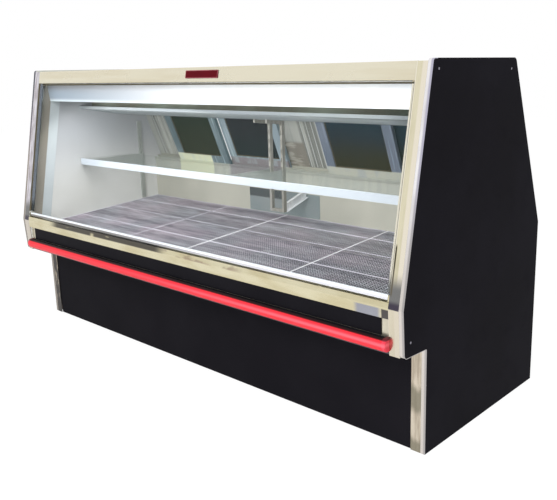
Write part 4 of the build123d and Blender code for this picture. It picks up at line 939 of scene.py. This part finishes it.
    # Near white and hardly metallic: the chrome brace's bright flanges are a painted reflection.
    brace = Finish("brace_steel", "f4f6f8", "e1e6ea", 0.1, 0.25, 0.1, grain=Grain.UPRIGHT,
                   grain_depth=0.00002)
    screw = Finish("screw_steel", "a7a4ae", "8c8a94", 0.8, 0.4, 0.14, grain_depth=0.00003)
    zinc = Finish("zinc", "a3a4a2", "8f908c", 0.9, 0.42, 0.16, grain_depth=0.00005)
    fins = Finish("coil_fins", "b3bcae", "8a8676", 0.2, 0.5, 0.14, 0.3, grain_depth=0.00004,
                  drift_scale=(2.6, 2.0, 2.0))
    frame_paint = Finish("frame_paint", "232326", "1c1c1f", 0.0, 0.5, 0.14, 0.2, grain=Grain.PEEL,
                         grain_depth=0.00006)
    cover_paint = Finish("cover_paint", "414145", "38383b", 0.0, 0.4, 0.12, 0.3, grain=Grain.PEEL,
                         grain_depth=0.00005)
    motor = Finish("motor_black", "161618", "1e1e20", 0.0, 0.45, 0.14, 0.3, grain=Grain.PEEL,
                   grain_depth=0.00005)
    copper = Finish("copper_pipe", "b0714c", "96583a", 1.0, 0.34, 0.14, grain_depth=0.00004)
    plastic = Finish("white_plastic", "e6e9ea", "dcdfe0", 0.0, 0.45, 0.1, grain_depth=0.00003)
    holder = Finish("lamp_holder", "8d8279", "7d736b", 0.0, 0.45, 0.1, 0.2, grain_depth=0.00003)
    black_plastic = Finish("black_plastic", "1a1a1b", "222224", 0.0, 0.48, 0.12, 0.3,
                           grain_depth=0.00004)
    lamp = Finish("lamp_glass", "eef1f2", "e6eaec", 0.0, 0.25, 0.06, 0.4, grain_depth=0.00001)
    lamp_cap = Finish("lamp_cap", "c7c9cb", "b2b4b7", 1.0, 0.3, 0.1, grain_depth=0.00002)
    jamb_grey = Finish("jamb_grey", "a59f94", "938e84", 0.3, 0.4, 0.12, 0.3, grain=Grain.UPRIGHT,
                       grain_depth=0.00004)
    jamb_white = Finish("jamb_white", "c4cccf", "b9c1c4", 0.0, 0.36, 0.1, 0.3, grain=Grain.PEEL,
                        grain_depth=0.00003)
    post = PostSteel("post_steel", "94928a", "aaa8a2", 0.3, 0.36, 0.12, 0.2, grain=Grain.UPRIGHT,
                     drift_scale=(60.0, 60.0, 6.0))
    bracket = Finish("bracket_steel", "aeb2ae", "9da19e", 0.0, 0.4, 0.1, 0.2, grain=Grain.ALONG_CASE)
    gasket = Finish("gasket", "615a48", "504a3c", 0.0, 0.7, 0.1, 0.1, grain_depth=0.00005)
    # The four doors are alike; the different tones of their panes and frames are painted light and shade.
    panes = {
        number: DarkPane(f"door_pane_{number}", tone, drift, 0.0, 0.5, 0.06, 0.0, top_tone=top,
                         foot_tone=foot)
        for number, tone, drift, top, foot in (
            (1, "31362b", "2b3025", "2b332c", "35382c"),
            (2, "2e2f33", "2d2e31", "2f2e32", "2d3334"),
            (3, "282e34", "272e36", "223340", "323021"),
            (4, "233038", "293139", "23333f", "2e2f24"),
        )
    }
    doors = {
        number: DoorSteel(f"door_steel_{number}", tone, drift, 0.0, 0.4, 0.1, 0.2, grain=Grain.UPRIGHT,
                          rail_tone=rail, line=line, rail_end=end, middle=middle)
        for number, tone, drift, rail, line, end, middle in (
            (1, "5f6f75", "76868b", "dbe0c2", "b9c8cc", -0.638, 0.051),
            (2, "86969e", "9caab2", "8b8688", "b5c8cc", 2.0, 0.0247),
            (3, "646d7b", "707886", "b3b5a8", "8f99a8", 2.0, 0.051),
            (4, "5b6270", "6b727f", "a9aca4", "7f8897", 2.0, 0.0247),
        )
    }
    _made: dict[str, bpy.types.Material] = {}

    @classmethod
    def material(cls, finish: Finish) -> bpy.types.Material:
        """The material of a finish, made at its first use.

        Args:
            finish: The finish.

        Returns:
            Its material.
        """
        if finish.name not in cls._made:
            cls._made[finish.name] = finish.make()
        return cls._made[finish.name]


def dress(finish: Finish, *nodes: str) -> None:
    """Gives CAD nodes their finish.

    Args:
        finish: The finish.
        nodes: Names of the nodes.
    """
    material = Palette.material(finish)
    for node in nodes:
        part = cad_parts[node]
        if part.material_slots:
            for holder in part.material_slots:
                holder.material = material
        else:
            part.data.materials.append(material)
        log.info("dressed %s as %s", node, finish.name)


def slab(mesh: Mesh, low: Point, high: Point, turn: Matrix = Matrix.Identity(4)) -> None:
    """Adds a box between two corners.

    Args:
        mesh: The mesh that takes it.
        low: Lowest corner.
        high: Highest corner.
        turn: Transform applied after the box is placed.
    """
    low_corner, high_corner = Vector(low), Vector(high)
    size = Matrix.Diagonal((*(high_corner - low_corner), 1.0))
    place = Matrix.Translation((low_corner + high_corner) / 2)
    bmesh.ops.create_cube(mesh, size=1.0, matrix=turn @ place @ size)


def end_slabs(mesh: Mesh, reach: Pair, low: Pair, high: Pair, turn: Matrix) -> None:
    """Adds the same box at both ends of the case.

    Args:
        mesh: The mesh that takes them.
        reach: Distances of its two faces from the middle of the case.
        low: Its lowest Y and Z.
        high: Its highest Y and Z.
        turn: Transform applied after the boxes are placed.
    """
    for side in (-1, 1):
        near, far = sorted(side * place for place in reach)
        slab(mesh, (near, *low), (far, *high), turn)


def rod(mesh: Mesh, start: Point, end: Point, radius: float, turn: Matrix,
        sides: int = 8) -> None:
    """Adds a round bar between two points.

    Args:
        mesh: The mesh that takes it.
        start: Middle of one end.
        end: Middle of the other end.
        radius: Radius of the bar.
        turn: Transform applied to both points.
        sides: Facets round it.
    """
    first, last = turn @ Vector(start), turn @ Vector(end)
    line = last - first
    tilt = line.to_track_quat("Z", "Y").to_matrix().to_4x4()
    place = Matrix.Translation((first + last) / 2) @ tilt
    bmesh.ops.create_cone(mesh, cap_ends=True, segments=sides, radius1=radius, radius2=radius,
                          depth=line.length, matrix=place)


def soften(mesh: Mesh, edges: Sequence, radius: float, segments: int = 2) -> None:
    """Rounds some edges of a mesh."""
    bmesh.ops.bevel(mesh, geom=list(edges), offset=radius, segments=segments, profile=0.5, affect="EDGES",
                    material=-1)


def ring(mesh: Mesh, low: Point, high: Point, width: float, turn: Matrix) -> None:
    """Adds a rectangular frame in the local XZ plane.

    Args:
        mesh: The mesh that takes it.
        low: Lowest outer corner.
        high: Highest outer corner.
        width: Width of the frame's bars.
        turn: Transform applied after the frame is placed.
    """
    for z in (low[2], high[2] - width):
        slab(mesh, (low[0], low[1], z), (high[0], high[1], z + width), turn)
    for x in (low[0], high[0] - width):
        slab(mesh, (x, low[1], low[2] + width), (x + width, high[1], high[2] - width), turn)


def turned(mesh: Mesh, profile: Sequence[Pair], place: Matrix, steps: int = 24) -> None:
    """Adds a body of revolution about the local Z axis.

    Args:
        mesh: The mesh that takes it.
        profile: Points (radius, height), in order.
        place: Transform of the finished body.
        steps: Facets round it.
    """
    old = set(mesh.verts)
    points = [mesh.verts.new((radius, 0.0, height)) for radius, height in profile]
    lines = [mesh.edges.new(pair) for pair in zip(points, points[1:])]
    bmesh.ops.spin(mesh, geom=points + lines, cent=(0, 0, 0), axis=(0, 0, 1), angle=2 * math.pi,
                   steps=steps, use_merge=True)
    bmesh.ops.remove_doubles(mesh, verts=[v for v in mesh.verts if v not in old], dist=0.000005)
    bmesh.ops.transform(mesh, matrix=place, verts=[v for v in mesh.verts if v not in old])


def piece(name: str, mesh: Mesh, finish: Finish, body: str = CASE,
          smooth: bool = False) -> bpy.types.Object:
    """Turns a bmesh into a finished piece that rides on a body.

    Args:
        name: Name of the piece.
        mesh: Its geometry, in the frame's place.
        finish: Its finish.
        body: The CAD body it moves with.
        smooth: Whether its faces are shaded smooth where they meet at a low angle.

    Returns:
        The new object.
    """
    bmesh.ops.recalc_face_normals(mesh, faces=mesh.faces)
    data = bpy.data.meshes.new(name)
    mesh.to_mesh(data)
    mesh.free()
    data.materials.append(Palette.material(finish))
    made = bpy.data.objects.new(name, data)
    bpy.context.scene.collection.objects.link(made)
    if smooth:
        data.shade_smooth()
        data.set_sharp_from_angle(angle=SHARP_ANGLE)
    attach(made, body)
    log.info("made %s with %d faces", name, len(data.polygons))
    return made


@dataclass(frozen=True)
class CaseForm:
    """Sizes of the case that several pieces share, as in the CAD."""

    inner_half: float = 1.187
    nose_y: float = -0.4725
    nose_height: float = 0.563
    height: float = 1.346
    front_lean: float = 0.152
    rear_y: float = 0.4915
    knee_height: float = 0.694
    rear_run: float = 0.257
    canopy_start: float = 0.7274

    @property
    def rear_lean(self) -> float:
        """Run of the rear slope for each metre of height."""
        return self.rear_run / (self.height - self.knee_height)

    def front_frame(self) -> Matrix:
        """Frame on the leaning front: X along the case, Y out of it and Z up the slope."""
        return self._slope(self.front_lean, self.nose_y, self.nose_height)

    def rear_frame(self) -> Matrix:
        """Frame on the rear slope: X along the case, Y into it and Z up the slope from the knee."""
        return self._slope(-self.rear_run, self.rear_y, self.knee_height)

    def _slope(self, run: float, y: float, z: float) -> Matrix:
        """Frame on a slope.

        Args:
            run: How far the slope runs along Y, up to the case's top.
            y: Where it starts along Y.
            z: The height where it starts.

        Returns:
            The frame, at the slope's start.
        """
        length = math.hypot(run, self.height - z)
        sine, cosine = run / length, (self.height - z) / length
        return Matrix(((1, 0, 0, 0), (0, -cosine, sine, y), (0, sine, cosine, z), (0, 0, 0, 1)))


FORM = CaseForm()


@dataclass
class EndBoards:
    """Black end boards with their bright strips and sunk screws."""

    head_radius: float = 0.0044
    head_base: float = 1.2428
    head_height: float = 0.0015
    head_outline: tuple = ((0, 0), (1, 0), (1, 0.7), (0.85, 1), (0.5, 1), (0.42, 0.4), (0, 0.3))
    places: tuple = ((-0.2875, 1.313), (0.2015, 1.307), (-0.4275, 0.4465))

    def build(self) -> None:
        """Dresses the boards and makes the screws."""
        dress(Palette.laminate, "end_panels")
        dress(Palette.edge_strip, "end_trims")
        self.screws()

    def screws(self) -> None:
        """Makes the sunk heads with their round sockets."""
        mesh = bmesh.new()
        radius, top = self.head_radius, self.head_height
        profile = [(radius * across, top * up) for across, up in self.head_outline]
        for side in (-1, 1):
            for y, z in self.places:
                place = Matrix.Translation((side * self.head_base, y, z))
                turned(mesh, profile, place @ Matrix.Rotation(side * math.pi / 2, 4, "Y"), 20)
        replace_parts(piece("end_screws", mesh, Palette.screw, smooth=True), "end_panel_screws")


@dataclass
class FrontFrame:
    """Bright frame round the glass, with its seals, the bare plate and the bumper."""

    plate_low: float = 0.044
    plate_high: float = 0.248
    plate_foot: float = 0.7445
    plate_top: float = 0.7775
    plate_out: float = 0.003
    plate_lift: float = 0.0006
    plate_corner: float = 0.004
    rim_inset: float = 0.0012
    rim_width: float = 0.00154
    rim_depth: float = 0.0007
    seal_inner: float = 1.1834
    seal_outer: float = 1.1855
    seal_depth: float = 0.008
    seal_face: float = 0.0004
    seal_start: float = 0.05
    head_seal_half: float = 1.174
    head_seal_near: float = 0.0162
    head_seal_far: float = 0.02
    head_seal_drop: float = 0.006

    def build(self) -> None:
        """Dresses and makes the front's pieces."""
        dress(Palette.pilaster, "pilasters")
        dress(Palette.rail, "front_rail")
        dress(Palette.canopy, "canopy_band")
        dress(Palette.glass, "front_glass_pane")
        dress(Palette.channel, "glass_bottom_channel")
        dress(Palette.fascia, "fascia_panel")
        dress(Palette.base_black, "bumper_channel")
        dress(Palette.bumper, "bumper_insert")
        dress(Palette.bumper_cap, "bumper_end_caps")
        self.nameplate()
        self.seals()

    def nameplate(self) -> None:
        """Makes the bare plate with rounded corners, and the pale rim round its field."""
        turn = FORM.front_frame()
        mesh = bmesh.new()
        face = self.plate_out - self.plate_lift
        slab(mesh, (self.plate_low, 0.0, self.plate_foot), (self.plate_high, face, self.plate_top), turn)
        ahead = turn.to_3x3() @ Vector((0, 1, 0))
        ways = {edge: (edge.verts[1].co - edge.verts[0].co).normalized() for edge in mesh.edges}
        uprights = [edge for edge, way in ways.items() if abs(way.dot(ahead)) > 0.99]
        soften(mesh, uprights, self.plate_corner, 4)
        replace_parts(piece("bare_nameplate", mesh, Palette.plate, smooth=True), "nameplate")
        rim = bmesh.new()
        inset, out = self.rim_inset, self.plate_out
        low = (self.plate_low + inset, out - self.rim_depth, self.plate_foot + inset)
        high = (self.plate_high - inset, out, self.plate_top - inset)
        ring(rim, low, high, self.rim_width, turn)
        piece("nameplate_rim", rim, Palette.plate_rim)

    def seals(self) -> None:
        """Makes the dark seals beside the pilasters and under the canopy band; besides being seals, their
        dark tone paints the shade in these gaps.
        """
        turn = FORM.front_frame()
        mesh = bmesh.new()
        # Real seals whose dark tone also stands in for the shade in the gaps beside the glass.
        end_slabs(mesh, (self.seal_inner, self.seal_outer), (-self.seal_depth, self.seal_start),
                  (-self.seal_face, FORM.canopy_start), turn)
        slab(mesh, (-self.head_seal_half, -self.head_seal_far, FORM.canopy_start - self.head_seal_drop),
             (self.head_seal_half, -self.head_seal_near, FORM.canopy_start), turn)
        piece("glass_seals", mesh, Palette.gasket)


@dataclass
class Interior:
    """Cold well: liner, deck of welded wire, shelf, posts, coil, drip pan and lamps."""

    deck_front: float = -0.416
    deck_rear: float = 0.381
    deck_height: float = 0.529
    deck_slope: float = 0.0694
    deck_joints: tuple = (-0.519, -0.076, 0.568)
    deck_gap: float = 0.003
    joint_gap: float = 0.006
    wire_pitch: float = 0.0127
    wire_radius: float = 0.0014
    wire_drop: float = 1.8
    rim_radius: float = 0.0036
    cross_rods: tuple = (-0.155, 0.06, 0.245)
    cross_share: float = 0.8
    thin_share: float = 0.55
    jamb_low: float = 0.022
    jamb_high: float = 0.7396
    jambs_near: tuple = (0.0195, 0.075, 0.128)
    jamb_proud: float = 0.001
    plate_low: Point = (-0.35, 0.3815, 0.584)
    plate_high: Point = (0.155, 0.383, 0.706)
    plate_round: float = 0.0006
    coil_place: Point = (0.0, -0.11, 1.136)
    coil_fall: float = -10.0
    fin_pitch: float = 0.0085
    fin_thickness: float = 0.0008
    fin_low: Pair = (0.028, 0.0115)
    fin_high: Pair = (0.224, 0.1115)
    tube_rows: tuple = (0.061, 0.128, 0.195)
    tube_levels: tuple = (0.035, 0.087)
    tube_radius: float = 0.008
    tube_inset: float = 0.002
    lamp_rows: tuple = (-0.2345, -0.1905)
    lamp_height: float = 1.234
    lamp_ends: tuple = ((-1.169, 0.03), (-0.03, 1.169))
    sleeve: tuple = ((0.0125, 0.0), (0.0133, 0.0006), (0.0133, 0.0155), (0.0125, 0.0165), (0.0125, 0.0))

    def build(self) -> None:
        """Dresses and makes the pieces inside."""
        dress(Palette.liner, "end_walls", "top_panel", "rear_header")
        dress(Palette.shaded_tank, "tank_floor")
        dress(Palette.sill, "tank_rear_wall")
        dress(Palette.front_wall, "tank_front_wall")
        dress(Palette.valance, "lamp_valance")
        dress(Palette.pan, "drip_pan")
        dress(Palette.post, "shelf_posts")
        dress(Palette.brace, "post_brace")
        dress(Palette.bracket, "shelf_brackets")
        dress(Palette.shelf_glass, "shelf_glass")
        dress(Palette.moulding, "shelf_front_moulding")
        dress(Palette.zinc, "deck_supports")
        dress(Palette.lamp, "lamp_tubes")
        dress(Palette.holder, "lamp_holders")
        dress(Palette.plastic, "drain_pipes")
        self.deck()
        self.jambs()
        self.coil()
        self.lamp_caps()
        plate = bmesh.new()
        slab(plate, self.plate_low, self.plate_high)
        soften(plate, plate.edges, self.plate_round)
        piece("wall_plate", plate, Palette.back_plate)

    def deck(self) -> None:
        """Makes the wire grilles of the deck and their rods."""
        rise = Matrix.Rotation(math.atan(self.deck_slope), 4, "X")
        turn = Matrix.Translation((0, self.deck_front, self.deck_height)) @ rise
        wires, rods = bmesh.new(), bmesh.new()
        edges = (-FORM.inner_half + self.deck_gap, *self.deck_joints, FORM.inner_half - self.deck_gap)
        for low, high in zip(edges, edges[1:]):
            self._grille(wires, rods, low, high - self.joint_gap, turn)
        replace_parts(piece("deck_wires", wires, Palette.wire), "deck_grilles")
        piece("deck_rods", rods, Palette.rod, smooth=True)

    def _grille(self, wires: Mesh, rods: Mesh, low: float, high: float,
                turn: Matrix) -> None:
        """Adds one grille: fine wires both ways, a proud rod along its left, and rods across.

        Args:
            wires: Mesh of the fine wires.
            rods: Mesh of the rods.
            low: The grille's left edge along the case.
            high: Its right edge.
            turn: Frame of the deck.
        """
        length = (self.deck_rear - self.deck_front) * math.hypot(1, self.deck_slope)
        inset = self.rim_radius
        top = -self.wire_radius
        count = int((high - low) / self.wire_pitch)
        for index in range(1, count + 1):
            x = low + (high - low) * index / count
            rod(wires, (x, inset, top), (x, length - inset, top), self.wire_radius, turn, 4)
        under = top - self.wire_drop * self.wire_radius
        count = int(length / self.wire_pitch)
        for index in range(1, count):
            y = length * index / count
            rod(wires, (low + inset, y, under), (high, y, under), self.wire_radius, turn, 4)
        rod(rods, (low + inset, 0, -inset), (low + inset, length, -inset), inset, turn)
        for y in (inset, length - inset):
            rod(rods, (low + inset, y, -inset), (high, y, -inset), inset * self.cross_share, turn)
        for place in self.cross_rods:
            y = (place - self.deck_front) * math.hypot(1, self.deck_slope)
            radius = inset * (self.thin_share if place == self.cross_rods[1] else self.cross_share)
            rod(rods, (low + inset, y, -radius), (high, y, -radius), radius, turn)

    def jambs(self) -> None:
        """Makes the grey and the white jamb strips behind the glass at both ends."""
        turn = FORM.front_frame()
        for name, near, far, finish, slot in (
            ("jamb_grey", self.jambs_near[0], self.jambs_near[1], Palette.jamb_grey, "stainless"),
            ("jamb_white", self.jambs_near[1], self.jambs_near[2], Palette.jamb_white, "white_metal"),
        ):
            mesh = bmesh.new()
            end_slabs(mesh, (FORM.inner_half, FORM.inner_half - self.jamb_proud), (-far, self.jamb_low),
                      (-near, self.jamb_high), turn)
            piece(name, mesh, finish)

    def coil(self) -> None:
        """Makes the coil's fins and tubes in the drip pan."""
        low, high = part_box("gravity_coil")
        fall = Matrix.Rotation(math.radians(self.coil_fall), 4, "X")
        turn = Matrix.Translation(self.coil_place) @ fall
        fins = bmesh.new()
        count = int((high.x - low.x) / self.fin_pitch)
        for index in range(count + 1):
            x = low.x + (high.x - low.x - self.fin_thickness) * index / count
            slab(fins, (x, *self.fin_low), (x + self.fin_thickness, *self.fin_high), turn)
        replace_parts(piece("coil_fins", fins, Palette.fins), "gravity_coil")
        tubes = bmesh.new()
        first, last = low.x + self.tube_inset, high.x - self.tube_inset
        for y in self.tube_rows:
            for z in self.tube_levels:
                rod(tubes, (first, y, z), (last, y, z), self.tube_radius, turn, 10)
        piece("coil_tubes", tubes, Palette.copper, smooth=True)

    def lamp_caps(self) -> None:
        """Makes the metal sleeves at the lamp tubes' ends."""
        mesh = bmesh.new()
        for y, (low, high) in zip(self.lamp_rows, self.lamp_ends):
            for x, way in ((low, 1), (high, -1)):
                place = Matrix.Translation((x, y, self.lamp_height))
                turned(mesh, self.sleeve, place @ Matrix.Rotation(way * math.pi / 2, 4, "Y"), 24)
        piece("lamp_caps", mesh, Palette.lamp_cap, smooth=True)


@dataclass
class RearDoors:
    """Sliding doors, their tracks and the fixed panels between them."""

    width: float = 0.434
    height: float = 0.41
    start: float = 0.147
    stile: float = 0.052
    lanes: tuple = ((-0.934, 0.0385), (-0.503, 0.014), (0.222, 0.0385), (0.573, 0.014))
    pane_faces: tuple = (0.0065, 0.0115)
    seal_width: float = 0.005
    seal_height: float = 0.002
    pull_half: float = 0.038
    pull_radius: float = 0.0096
    pull_depth: float = 0.0046
    pull_rim: float = 0.0014
    pull_taper: float = 0.0012
    pull_hollow: float = 0.85
    rib_places: tuple = (-1.12, -1.07, -1.02, -0.972, 0.075, 0.112, 0.146, 0.178, 0.22, 1.05, 1.1, 1.15)
    rib_half: float = 0.0016
    rib_low: Pair = (0.0094, 0.163)
    rib_high: Pair = (0.0122, 0.542)

    def build(self) -> None:
        """Dresses and makes the rear's pieces."""
        dress(Palette.fixed_panel, "rear_fixed_panels")
        dress(Palette.track_sill, "door_lower_track")
        dress(Palette.track_metal, "door_upper_track")
        dress(Palette.black_plastic, "light_switch")
        for number, (left, near) in enumerate(self.lanes, start=1):
            dress(Palette.doors[number], f"door_frame_{number}")
            dress(Palette.panes[number], f"door_glass_{number}")
            self.seals(number, left, near)
            self.pull(number, left, near)
        self.ribs()

    def seals(self, number: int, left: float, near: float) -> None:
        """Makes the seals on both sides of a door's pane.

        Args:
            number: The door's number.
            left: Its left edge along the case.
            near: Depth of its lane behind the rear slope.
        """
        mesh = bmesh.new()
        low_x, high_x = left + self.stile, left + self.width - self.stile
        low_z, high_z = self.start + self.stile, self.start + self.height - self.stile
        outer, inner = (near + face for face in self.pane_faces)
        for low_y, high_y in ((outer - self.seal_height, outer), (inner, inner + self.seal_height)):
            ring(mesh, (low_x, low_y, low_z), (high_x, high_y, high_z), self.seal_width, FORM.rear_frame())
        piece(f"door_seal_{number}", mesh, Palette.gasket, f"door_{number}")

    def pull(self, number: int, left: float, near: float) -> None:
        """Makes the bright cup in a door's finger recess.

        Args:
            number: The door's number.
            left: Its left edge along the case.
            near: Depth of its lane behind the rear slope.
        """
        side = -1 if number in (1, 3) else 1
        middle = left + self.width / 2 + side * (self.width - self.stile) / 2
        place = Matrix.Translation((middle, near, self.start + self.height / 2))
        mesh = bmesh.new()
        bmesh.ops.create_circle(mesh, cap_ends=True, segments=32, radius=self.pull_radius,
                                matrix=Matrix.Rotation(math.pi / 2, 4, "X"))
        for vert in mesh.verts:
            vert.co.z += math.copysign(self.pull_half, vert.co.z)
        face = bmesh.ops.extrude_face_region(mesh, geom=mesh.faces[:], use_keep_orig=True)["geom"]
        moved = [item for item in face if isinstance(item, bmesh.types.BMVert)]
        bmesh.ops.translate(mesh, verts=moved, vec=(0, self.pull_depth, 0))
        bmesh.ops.recalc_face_normals(mesh, faces=mesh.faces)
        mouth = [f for f in mesh.faces if f.normal.y < -0.9]
        bmesh.ops.inset_region(mesh, faces=mouth, thickness=self.pull_rim, depth=0.0)
        bmesh.ops.inset_region(mesh, faces=mouth, thickness=self.pull_taper,
                               depth=-self.pull_depth * self.pull_hollow)
        bmesh.ops.transform(mesh, matrix=FORM.rear_frame() @ place, verts=mesh.verts)
        piece(f"door_pull_{number}", mesh, Palette.chrome, f"door_{number}", smooth=True)

    def ribs(self) -> None:
        """Makes the bright ribs of the fixed panels, whose brightness is a painted highlight."""
        mesh = bmesh.new()
        for x in self.rib_places:
            low, high = (x - self.rib_half, *self.rib_low), (x + self.rib_half, *self.rib_high)
            slab(mesh, low, high, FORM.rear_frame())
        piece("panel_ribs", mesh, Palette.rib_highlight)


@dataclass
class Base:
    """Black base with bright corner posts, its frame, feet, rear cover and control knob."""

    cover_face: float = 0.4835
    cover_screws: tuple = (-1.2, -0.8, -0.16, 0.0, 0.45, 0.95, 1.2)
    cover_rows: tuple = (0.024, 0.378)
    screw_outline: tuple = ((0.0, 0.0), (0.0046, 0.0), (0.0043, 0.0009), (0.003, 0.0016), (0.0013, 0.0018),
                            (0.0011, 0.0009), (0.0, 0.0008))
    knob_place: Point = (-0.047, 0.4843, 0.268)
    knob_outline: tuple = ((0.0, -0.018), (0.0039, -0.018), (0.0039, 0.0), (0.0188, 0.0), (0.0188, 0.0042),
                           (0.017, 0.0058), (0.0, 0.0062))
    pointer_low: Point = (-0.001, -0.0165, 0.0055)
    pointer_high: Point = (0.001, -0.005, 0.0068)
    pointer_round: float = 0.0004

    def build(self) -> None:
        """Dresses and makes the base's pieces."""
        dress(Palette.base_black, "base_front_panel")
        dress(Palette.corner, "base_corner_posts")
        dress(Palette.frame_paint, "base_frame")
        dress(Palette.cover_paint, "rear_access_panel")
        dress(Palette.zinc, "levelling_feet", "electrical_box")
        self.screws()
        self.knob()

    def screws(self) -> None:
        """Makes the domed screws of the rear cover."""
        mesh = bmesh.new()
        for x in self.cover_screws:
            for z in self.cover_rows:
                turned(mesh, self.screw_outline, self._backward((x, self.cover_face, z)), 20)
        piece("cover_screws", mesh, Palette.screw, smooth=True)

    def knob(self) -> None:
        """Makes the thermostat's knob with its pointer."""
        mesh = bmesh.new()
        turned(mesh, self.knob_outline, self._backward(self.knob_place), 40)
        knob = piece("round_knob", mesh, Palette.black_plastic, "dial", True)
        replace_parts(knob, "thermostat_knob")
        pointer = bmesh.new()
        slab(pointer, self.pointer_low, self.pointer_high, self._backward(self.knob_place))
        soften(pointer, pointer.edges, self.pointer_round)
        piece("knob_pointer", pointer, Palette.plastic, "dial")

    @staticmethod
    def _backward(place: Point) -> Matrix:
        """Transform that turns local Z to the rear at a place."""
        return Matrix.Translation(place) @ Matrix.Rotation(-math.pi / 2, 4, "X")


@dataclass
class Machinery:
    """Condensing unit behind the louvred cover."""

    def build(self) -> None:
        """Dresses the machinery."""
        dress(Palette.zinc, "condensing_unit_base")
        dress(Palette.fins, "condenser_coil", "condenser_fan")
        dress(Palette.frame_paint, "condenser_shroud")
        dress(Palette.motor, "compressor")
        dress(Palette.copper, "copper_lines")


@dataclass
class Studio:
    """Camera at the photograph's place, a white floor and backdrop, and soft light."""

    eye: Point = (2.4702, -2.2658, 1.3154)
    azimuth: float = 42.27
    elevation: float = 12.94
    roll: float = -1.25
    lens: float = 46.25
    shift: Pair = (-0.0512, -0.0269)
    floor_size: float = 30.0
    sky_light: float = 0.62
    floor_white: float = 0.8
    floor_glow: float = 1.11
    floor_tone: Colour = (0.95, 0.95, 0.95, 1.0)
    floor_roughness: float = 0.9
    clip_end: float = 60.0
    lamps: tuple = (
        ("key", (1.2, -4.2, 3.6), (0.0, 0.0, 0.8), (3.0, 2.2), 150.0),
        ("side", (4.6, -0.6, 2.4), (1.0, 0.0, 0.8), (2.0, 2.0), 40.0),
        ("case_lamps", (-0.08, -0.2, 1.08), (-0.11, 0.12, 0.6), (2.0, 0.2), 6.0),
        ("coil_lamps", (0.0, -0.17, 1.215), (0.0, 0.1, 1.19), (1.9, 0.04), 1.2),
        ("front", (1.8, -4.4, 1.5), (-0.2, 0.3, 0.9), (3.0, 1.6), 60.0),
    )

    def build(self) -> None:
        """Makes the camera, the world, the floor and the lights."""
        bpy.context.scene.view_settings.view_transform = "Standard"
        self.camera()
        self.world()
        self.floor()
        self.lights()

    def camera(self) -> None:
        """Makes the camera."""
        azimuth, elevation, roll = (math.radians(v) for v in (self.azimuth, self.elevation, self.roll))
        flat = Vector((-math.sin(azimuth), math.cos(azimuth), 0.0))
        ahead = flat * math.cos(elevation) - Vector((0, 0, 1)) * math.sin(elevation)
        right = Vector((math.cos(azimuth), math.sin(azimuth), 0.0))
        up = right.cross(ahead)
        turned_right = right * math.cos(roll) + up * math.sin(roll)
        turned_up = up * math.cos(roll) - right * math.sin(roll)
        data = bpy.data.cameras.new("photo_camera")
        data.lens = self.lens
        data.shift_x, data.shift_y = self.shift
        data.clip_end = self.clip_end
        eye = bpy.data.objects.new("photo_camera", data)
        axes = Matrix((turned_right, turned_up, -ahead)).transposed().to_4x4()
        eye.matrix_world = Matrix.Translation(self.eye) @ axes
        bpy.context.scene.collection.objects.link(eye)
        bpy.context.scene.camera = eye

    def world(self) -> None:
        """Makes a world that looks white and lights the case at a plain level."""
        world = bpy.data.worlds.new("studio")
        world.use_nodes = True
        bpy.context.scene.world = world
        shader = Shader(world.node_tree)
        background = world.node_tree.nodes["Background"].inputs
        shader.feed(background["Color"], (1.0, 1.0, 1.0, 1.0))
        shader.feed(background["Strength"], shader.seen() * (1.0 - self.sky_light) + self.sky_light)

    def floor(self) -> None:
        """Makes the floor, which looks white and keeps the case's shadow."""
        mesh = bmesh.new()
        bmesh.ops.create_grid(mesh, x_segments=1, y_segments=1, size=self.floor_size / 2)
        data = bpy.data.meshes.new("studio_floor")
        mesh.to_mesh(data)
        mesh.free()
        floor = bpy.data.objects.new("studio_floor", data)
        bpy.context.scene.collection.objects.link(floor)
        material = bpy.data.materials.new("studio_floor")
        material.use_nodes = True
        nodes = material.node_tree.nodes
        shader = Shader(material.node_tree)
        matt = nodes["Principled BSDF"]
        shader.feed(matt.inputs["Base Color"], self.floor_tone)
        shader.feed(matt.inputs["Roughness"], self.floor_roughness)
        shader.feed(matt.inputs["Specular IOR Level"], 0.0)
        white = shader.node("ShaderNodeEmission", {}, {"Strength": self.floor_glow})
        layers = {0: shader.seen() * self.floor_white, 1: Wire(shader, matt.outputs[0]), 2: white}
        surface = shader.node("ShaderNodeMixShader", {}, layers)
        shader.feed(nodes["Material Output"].inputs["Surface"], surface)
        data.materials.append(material)

    def lights(self) -> None:
        """Makes three soft boxes and the faint light of the case's own lamps."""
        for lamp in self.lamps:
            self._area(*lamp)

    @staticmethod
    def _area(name: str, place: Point, aim: Point, size: Pair, power: float) -> None:
        """Makes one area light that only lights.

        Args:
            name: The light's name.
            place: Where it stands.
            aim: The point that it faces.
            size: Its width and height.
            power: Its power in watts.
        """
        data = bpy.data.lights.new(name, "AREA")
        data.shape = "RECTANGLE"
        data.size, data.size_y = size
        data.energy = power
        light = bpy.data.objects.new(name, data)
        turn = (Vector(aim) - Vector(place)).to_track_quat("-Z", "Y")
        light.matrix_world = Matrix.Translation(place) @ turn.to_matrix().to_4x4()
        light.visible_camera = False
        light.visible_glossy = False
        bpy.context.scene.collection.objects.link(light)


def main() -> None:
    """Builds the studio and the case's sub-assemblies in order."""
    logging.basicConfig(level=logging.INFO, format="%(message)s")
    for part in (Studio(), EndBoards(), FrontFrame(), Interior(), RearDoors(), Base(), Machinery()):
        part.build()


if __name__ == "__main__":
    main()
